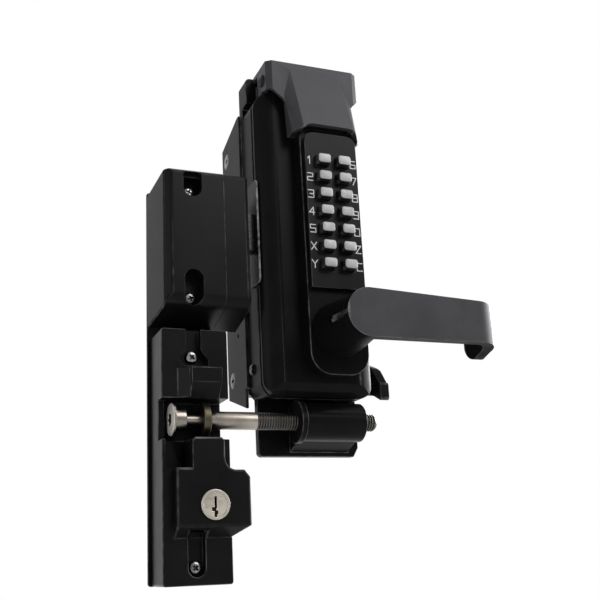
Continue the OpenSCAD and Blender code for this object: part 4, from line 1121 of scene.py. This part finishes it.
class GATELOCK_OT_levers(LockOperator, bpy.types.Operator):
    """Outer and inner lever: a flat bar with a round end, bent back at its tip, on a coned hub"""
    bl_idname = "gatelock.levers"
    bl_label = "Lever handles"

    def execute(self, context):
        for lever in LEVERS:
            node = lever["node"]
            name = lever["name"]
            bar = self.bar(name, lever["bar"])
            hub = self.hub(f"{name}_hub", lever["hub"], lever["grub_y"])
            # the bar's rounded rim: wear together with a painted highlight
            mark_wear_and_glint(bar.data, start=4, full=14)
            mark_wear_and_glint(hub.data)
            bar.data.materials.append(finish(lever["coat"]))
            bar.data.materials.append(finish("lever_flank"))
            # the hub takes the second material: painted shade
            join_mesh(bar, hub, 1)
            settle(bar, None, BODY_OF[node], (node,))
            crisp(lever["grub"], f"{name}_grub", GRUB_EDGE, "screw_steel", segments=2)
        return {"FINISHED"}

    @staticmethod
    def sections(front, turn_back, drop, end_high, end_round):
        """Cross-sections of the bar from its round end to the tip of its return: outer and inner
        place in X and Y, top and bottom"""
        side = 1 if turn_back > front else -1
        back = front + side * LEVER_THICK
        floor = LEVER_Z - LEVER_END
        start_top = LEVER_Z + LEVER_END
        bend_top = start_top - LEVER_TAPER
        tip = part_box("lever_handle")[1][0] / MM
        bend_x = tip - LEVER_BEND
        bend_y = front + side * LEVER_BEND
        rows = []
        for turn in END_TURNS:
            x = LEVER_X - LEVER_END * math.cos(math.radians(turn))
            rise = LEVER_END * math.sin(math.radians(turn))
            rows.append((x, front, x, back, LEVER_Z + rise, LEVER_Z - rise))
        for share in (0, 0.25, 0.5, 0.75, 1):
            x = between(LEVER_X, bend_x, share)
            rows.append((x, front, x, back, between(start_top, bend_top, share), floor))

        # The return drops and narrows evenly from the bar's back to its end; after the bend it has
        # done the share that lies within the bend
        inside = LEVER_BEND - LEVER_THICK
        return_end = turn_back - side * end_round
        return_share = inside / abs(return_end - back)
        after_low = floor - drop * return_share
        after_top = floor + RETURN_HIGH - (RETURN_HIGH - end_high + drop) * return_share
        end_low = floor - drop
        end_top = end_low + end_high
        for step in range(1, BEND_STEPS + 1):
            angle = math.radians(90 * step / BEND_STEPS)
            share = (step / BEND_STEPS) ** TWIST_EASE
            rows.append((bend_x + LEVER_BEND * math.sin(angle), bend_y - side * LEVER_BEND * math.cos(angle),
                         bend_x + inside * math.sin(angle), bend_y - side * inside * math.cos(angle),
                         between(bend_top, after_top, share), between(floor, after_low, share)))
        for share in (0.5, 1):
            y = between(bend_y, return_end, share)
            rows.append((tip, y, tip - LEVER_THICK, y,
                         between(after_top, end_top, share), between(after_low, end_low, share)))
        for turn in TIP_TURNS:
            y = return_end + side * end_round * math.cos(math.radians(turn))
            cut = end_round * (1 - math.sin(math.radians(turn)))
            rows.append((tip, y, tip - LEVER_THICK, y, end_top - cut, end_low + cut))
        return rows

    def bar(self, name, shape):
        """The bar with its rounded edges; its top, bottom and inner face take the second material, a painted
        shade
        """
        rings = []
        for out_x, out_y, in_x, in_y, top, low in self.sections(**shape):
            corners = ((out_x, out_y, top), (out_x, out_y, low), (in_x, in_y, low), (in_x, in_y, top))
            rings.append([Vector(corner) * MM for corner in corners])
        form, bands = loft(rings)
        for band in bands[:-1]:
            for face in band[1:]:
                face.material_index = 1
        piece = new_piece(name, form_to_mesh(form, name, sharp=None))
        edges = piece.modifiers.new("edges", "BEVEL")
        edges.width = sizes().lever_edge
        edges.segments = 5
        edges.limit_method = "ANGLE"
        edges.angle_limit = math.radians(50)
        edges.use_clamp_overlap = True
        edges.face_strength_mode = "FSTR_ALL"
        normals = piece.modifiers.new("normals", "WEIGHTED_NORMAL")
        normals.use_face_influence = True
        return baked(piece)

    @staticmethod
    def hub(name, profile, grub_y):
        """Coned hub with the hole of its grub screw"""
        start = profile[0][0]
        direction = 1 if profile[-1][0] > start else -1
        outline = [((y - start) * direction, radius) for y, radius in profile]
        form = turned([(0, 0)] + outline + [(outline[-1][0], 0)], (LEVER_X, start, LEVER_Z),
                      (0, direction, 0), HUB_STEPS)
        piece = new_piece(name, form_to_mesh(form, name, sharp=30))
        drill = turned([(0, 0), (0, GRUB_RADIUS), (GRUB_DEPTH, GRUB_RADIUS), (GRUB_DEPTH, 0)],
                       (LEVER_X - GRUB_REACH, grub_y, LEVER_Z), (1, 0, 0), GRUB_STEPS)
        tool = new_piece("grub_drill", form_to_mesh(drill, "grub_drill"))
        return cut_away(piece, tool, sharp=30)


class GATELOCK_OT_latch(LockOperator, bpy.types.Operator):
    """Latch bolt, its face plate and the return spring"""
    bl_idname = "gatelock.latch"
    bl_label = "Latch"

    def execute(self, context):
        crisp("latch_bolt", "latch_tongue", LATCH_EDGE, "latch_steel")
        crisp("latch_faceplate", "latch_plate", FACEPLATE_EDGE, "plate_steel", segments=2)
        low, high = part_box("return_spring")
        centre = [(first + second) / 2 for first, second in zip(low, high)]
        spring = wound(
            "latch_spring", radius=(high[0] - low[0]) / 2 - SPRING_WIRE, wire=SPRING_WIRE,
            length=high[2] - low[2] - 2 * SPRING_WIRE, turns=SPRING_TURNS, sides=SPRING_SIDES,
            steps=SPRING_STEPS, start=(centre[0], centre[1], low[2] + SPRING_WIRE), direction=(0, 0, 0),
            material=finish("spring_steel"))
        settle(spring, finish("spring_steel"), BODY_OF["return_spring"], ("return_spring",))
        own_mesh(spring)
        return {"FINISHED"}


class GATELOCK_OT_striker(LockOperator, bpy.types.Operator):
    """Striker bolt with socket head, neck and thread, and its washer"""
    bl_idname = "gatelock.striker"
    bl_label = "Striker bolt"

    def execute(self, context):
        low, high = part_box("striker_bolt")
        head = low[0] / MM
        end = high[0] / MM
        depth = sizes().thread_depth / MM
        piece = new_piece("striker_shaft", self.shaft(head, end, SHANK_RADIUS - depth))
        threaded = STRIKER_COATS.index("thread_steel")
        right_length = end - THREAD_END_GAP - THREAD_RIGHT_START
        for name, start, length in (("thread_left", THREAD_LEFT_START, THREAD_LEFT_LENGTH),
                                    ("thread_right", THREAD_RIGHT_START, right_length)):
            thread = wound(
                name, radius=(SHANK_RADIUS - depth * THREAD_SINK) * MM, wire=depth * THREAD_WIRE * MM,
                length=length * MM, turns=length / (sizes().thread_pitch / MM), sides=THREAD_SIDES,
                steps=THREAD_STEPS, start=(start * MM, STRIKER_Y * MM, STRIKER_Z * MM),
                direction=(0, math.radians(90), 0), material=finish("striker_steel"))
            join_mesh(piece, thread, threaded)
        mark_wear_and_glint(piece.data, start=24, full=60)
        for coat in STRIKER_COATS:
            piece.data.materials.append(finish(coat))
        settle(piece, None, BODY_OF["striker_bolt"], ("striker_bolt",))
        crisp("striker_washer", "bronze_washer", WASHER_EDGE, "washer_bronze")
        return {"FINISHED"}

    def shaft(self, head, end, core):
        """The bolt from the bottom of its socket over its head to its far end, without its thread"""
        socket = self.hexagon()
        rings = []
        for behind, scale in SOCKET_RINGS:
            rings.append(self.circle(head + behind, [radius * scale for radius in socket]))
        outline = [(head + behind, radius) for behind, radius in HEAD_OUTLINE]
        outline.extend(SHANK_OUTLINE)
        outline.extend(((THREAD_X, core), (end - THREAD_END_GAP, core), (end - 0.2, core - 1.1),
                        (end, core - 1.5), (end, 0.5)))
        for along, radius in outline:
            rings.append(self.circle(along, [radius] * STRIKER_STEPS))
        form, _ = loft(rings)
        mesh = form_to_mesh(form, "striker_core", sharp=30)
        for face in mesh.polygons:
            face.material_index = self.coat_number(face.center / MM, head)
        return mesh

    @staticmethod
    def hexagon():
        """Radius of the hexagon socket at each step round the axis"""
        radii = []
        for index in range(STRIKER_STEPS):
            turn = 2 * math.pi * index / STRIKER_STEPS
            sector = (turn + math.pi / 6) % (math.pi / 3) - math.pi / 6
            radii.append(SOCKET_RADIUS * math.cos(math.pi / 6) / math.cos(sector))
        return radii

    @staticmethod
    def circle(along, radii):
        """Points round the striker's axis at a place in X"""
        points = []
        for index, radius in enumerate(radii):
            turn = 2 * math.pi * index / STRIKER_STEPS
            points.append(Vector((along, STRIKER_Y + radius * math.cos(turn),
                                  STRIKER_Z + radius * math.sin(turn))) * MM)
        return points

    @staticmethod
    def coat_number(middle, head):
        """The material number of a face by its middle in mm: the head's face painted light, the socket
        and the thread painted shade
        """
        across = math.hypot(middle.y - STRIKER_Y, middle.z - STRIKER_Z)
        if middle.x < head + HEAD_FACE and across > SOCKET_EDGE:
            return STRIKER_COATS.index("head_steel")
        if middle.x < head + SOCKET_REACH and across < SOCKET_REACH:
            return STRIKER_COATS.index("seal_rubber")
        if middle.x > THREAD_X and across < SHANK_RADIUS - 0.2:
            return STRIKER_COATS.index("thread_steel")
        return STRIKER_COATS.index("striker_steel")


class GATELOCK_OT_strike(LockOperator, bpy.types.Operator):
    """Strike box, its mouth and their back plate"""
    bl_idname = "gatelock.strike"
    bl_label = "Strike"

    def execute(self, context):
        edge = sizes().shell_edge
        crisp("post_plate", "back_plate", edge * THIN_SHARE, "case_coat")
        for node, name in (("strike_box", "strike_casting"), ("strike_mouth", "strike_lip")):
            crisp(node, name, edge * STRIKE_SHARE, "case_coat", segments=4,
                  wide=self.edge_share)
        return {"FINISHED"}

    @staticmethod
    def edge_share(middle):
        """Little rounding in the screw recesses, at the back and at the seam of the two parts"""
        in_recess = -0.0865 < middle.x < -0.0700 and middle.z > -0.066
        at_seam = abs(middle.x - STRIKE_SEAM_X * MM) < 0.0005
        return 0.22 if in_recess or middle.y > -0.006 or at_seam else 1


class GATELOCK_OT_keeper(LockOperator, bpy.types.Operator):
    """Keeper casting and the cover over its locking slide"""
    bl_idname = "gatelock.keeper"
    bl_label = "Keeper"

    def execute(self, context):
        edge = sizes().shell_edge
        crisp("keeper_body", "keeper_casting", edge, "case_coat", wide=self.body_share)
        crisp("key_cover", "keeper_cover", edge * COVER_SHARE, "case_coat", segments=4,
              wide=self.cover_share)
        return {"FINISHED"}

    @staticmethod
    def body_share(middle):
        """Little rounding in the screw recess and none within the pocket beside the slide"""
        in_recess = -0.0905 < middle.x < -0.0660 and middle.z > -0.113 and middle.y < -0.0288
        in_pocket = -0.0992 < middle.x < -0.0818 and -0.1805 < middle.z < -0.1560
        return 0.3 if in_recess else 0 if in_pocket else 1

    @staticmethod
    def cover_share(middle):
        """No rounding at the slide's slot and at the key cylinder, little at the back"""
        in_slot = abs(middle.x - SLIDE_X * MM) < 0.0035 and -0.041 < middle.y < -0.034
        if in_slot and middle.z > -0.1625:
            return 0
        if math.hypot(middle.x - CYLINDER_X * MM, middle.z - CYLINDER_Z * MM) < 0.0125:
            return 0
        return 1 if middle.y < -0.036 else 0.2


class GATELOCK_OT_cylinder(LockOperator, bpy.types.Operator):
    """Key cylinder: chamfered rim and the plug with its keyway"""
    bl_idname = "gatelock.cylinder"
    bl_label = "Key cylinder"

    def execute(self, context):
        crisp("cylinder_body", "cylinder_rim", RIM_EDGE, "cylinder_nickel")
        crisp("key_plug", "cylinder_plug", PLUG_EDGE, "plug_nickel", segments=2)
        return {"FINISHED"}


class GATELOCK_OT_screws(LockOperator, bpy.types.Operator):
    """Cross-recess screws of strike, keeper, flange, case, hood and inside housing"""
    bl_idname = "gatelock.screws"
    bl_label = "Screws"

    def execute(self, context):
        for row in SCREW_ROWS:
            screw_row(**row)
        return {"FINISHED"}


class GATELOCK_OT_works(LockOperator, bpy.types.Operator):
    """Inner parts that stay as the CAD has them, with their metals"""
    bl_idname = "gatelock.works"
    bl_label = "Inner works"

    def execute(self, context):
        for node, coat in INNER_WORKS.items():
            for place in frame["nodes"][node].material_slots:
                place.link = "OBJECT"
                place.material = finish(coat)
        return {"FINISHED"}


class GATELOCK_OT_stage(LockOperator, bpy.types.Operator):
    """Pale floor, soft lamps, world and the camera at the photograph's viewing angle"""
    bl_idname = "gatelock.stage"
    bl_label = "Stage"

    def execute(self, context):
        context.scene.view_settings.view_transform = "Standard"
        self.floor()
        self.world(context.scene)
        self.lamps(context.scene)
        self.camera(context.scene)
        return {"FINISHED"}

    @staticmethod
    def floor():
        """A pale floor that fades to the world's white with the distance"""
        level = CAD_BOX[0][2] - FLOOR_DROP
        mesh = bpy.data.meshes.new("floor")
        mesh.from_pydata([(-FLOOR_REACH, -FLOOR_REACH, level), (FLOOR_REACH, -FLOOR_REACH, level),
                          (FLOOR_REACH, FLOOR_REACH, level), (-FLOOR_REACH, FLOOR_REACH, level)],
                         [], [(0, 1, 2, 3)])
        floor = new_piece("floor", mesh)
        material, tree, shader = new_material("floor_pale")
        shader.inputs["Base Color"].default_value = FLOOR_COLOUR
        shader.inputs["Roughness"].default_value = 0.9
        shader.inputs["Specular IOR Level"].default_value = 0.1
        distance = tree.nodes.new("ShaderNodeVectorMath")
        distance.operation = "LENGTH"
        tree.links.new(object_place(tree), distance.inputs[0])
        far = spread(tree, distance.outputs["Value"], 0, 1, start=FADE_START, end=FADE_END)
        rays = tree.nodes.new("ShaderNodeLightPath").outputs
        seen = combined(tree, "MAXIMUM", rays["Is Camera Ray"], rays["Is Glossy Ray"])
        white = tree.nodes.new("ShaderNodeEmission")
        white.inputs["Strength"].default_value = 1
        mix = tree.nodes.new("ShaderNodeMixShader")
        tree.links.new(combined(tree, "MULTIPLY", far, seen), mix.inputs[0])
        tree.links.new(shader.outputs[0], mix.inputs[1])
        tree.links.new(white.outputs[0], mix.inputs[2])
        tree.links.new(mix.outputs[0], tree.nodes["Material Output"].inputs["Surface"])
        floor.data.materials.append(material)

    @staticmethod
    def world(scene):
        """White where it is seen or mirrored, dimmer where it lights dull surfaces"""
        world = bpy.data.worlds.new("studio")
        scene.world = world
        world.use_nodes = True
        tree = world.node_tree
        background = tree.nodes["Background"]
        rays = tree.nodes.new("ShaderNodeLightPath").outputs
        seen = combined(tree, "MAXIMUM", rays["Is Camera Ray"], rays["Is Glossy Ray"])
        seen = combined(tree, "MAXIMUM", seen, rays["Is Transmission Ray"])
        background.inputs["Color"].default_value = (1, 1, 1, 1)
        tree.links.new(spread(tree, seen, WORLD_LIGHT, 1, start=0, end=1), background.inputs["Strength"])

    @staticmethod
    def lamps(scene):
        """Square lamps that all face the middle of the lock"""
        for name, place, size, power in LAMPS:
            lamp = bpy.data.lights.new(name, "AREA")
            lamp.shape = "SQUARE"
            lamp.size = size
            lamp.energy = power
            holder = bpy.data.objects.new(name, lamp)
            scene.collection.objects.link(holder)
            holder.location = place
            facing = Vector(LOCK_MIDDLE) - Vector(place)
            holder.rotation_euler = facing.to_track_quat("-Z", "Y").to_euler()

    @staticmethod
    def camera(scene):
        """The photograph's camera: turned up and to the side, then rolled about its own axis"""
        camera = bpy.data.cameras.new("photo_view")
        camera.sensor_width = CAMERA_SENSOR
        camera.lens = CAMERA_LENS
        camera.shift_x, camera.shift_y = CAMERA_SHIFT
        camera.clip_start, camera.clip_end = CAMERA_CLIP
        holder = bpy.data.objects.new("photo_view", camera)
        scene.collection.objects.link(holder)
        pitch = Matrix.Rotation(math.radians(CAMERA_PITCH), 3, "X")
        yaw = Matrix.Rotation(math.radians(CAMERA_YAW), 3, "Z")
        roll = math.radians(CAMERA_ROLL)
        base = yaw @ pitch
        right, ahead, up = base.col[0].copy(), base.col[1].copy(), base.col[2].copy()
        turned_right = right * math.cos(roll) + up * math.sin(roll)
        turned_up = -right * math.sin(roll) + up * math.cos(roll)
        facing = Matrix((turned_right, turned_up, -ahead)).transposed().to_4x4()
        holder.matrix_world = Matrix.Translation(CAMERA_PLACE) @ facing
        scene.camera = holder


STEPS = ("case", "hood", "buttons", "labels", "levers", "latch", "striker", "strike", "keeper", "cylinder",
         "screws", "works", "stage")


class GATELOCK_PT_panel(bpy.types.Panel):
    """Sizes, colours and pieces of the gate lock"""
    bl_idname = "GATELOCK_PT_panel"
    bl_label = "Gate Lock"
    bl_space_type = "VIEW_3D"
    bl_region_type = "UI"
    bl_category = "Gate Lock"

    def draw(self, context):
        layout = self.layout
        for group in (context.scene.gate_lock_sizes, context.scene.gate_lock_colours):
            box = layout.box()
            for name in group.__annotations__:
                box.prop(group, name)
        for step in STEPS:
            layout.operator(f"gatelock.{step}")


CLASSES = (LockColours, LockSizes, GATELOCK_OT_case, GATELOCK_OT_hood, GATELOCK_OT_buttons,
           GATELOCK_OT_labels, GATELOCK_OT_levers, GATELOCK_OT_latch, GATELOCK_OT_striker,
           GATELOCK_OT_strike, GATELOCK_OT_keeper, GATELOCK_OT_cylinder, GATELOCK_OT_screws,
           GATELOCK_OT_works, GATELOCK_OT_stage, GATELOCK_PT_panel)


def register():
    for item in CLASSES:
        bpy.utils.register_class(item)
    bpy.types.Scene.gate_lock_colours = bpy.props.PointerProperty(type=LockColours)
    bpy.types.Scene.gate_lock_sizes = bpy.props.PointerProperty(type=LockSizes)


def unregister():
    del bpy.types.Scene.gate_lock_sizes
    del bpy.types.Scene.gate_lock_colours
    for item in reversed(CLASSES):
        bpy.utils.unregister_class(item)


def main():
    """Makes every piece and the stage"""
    register()
    for step in STEPS:
        getattr(bpy.ops.gatelock, step)()


if __name__ == "__main__":
    main()
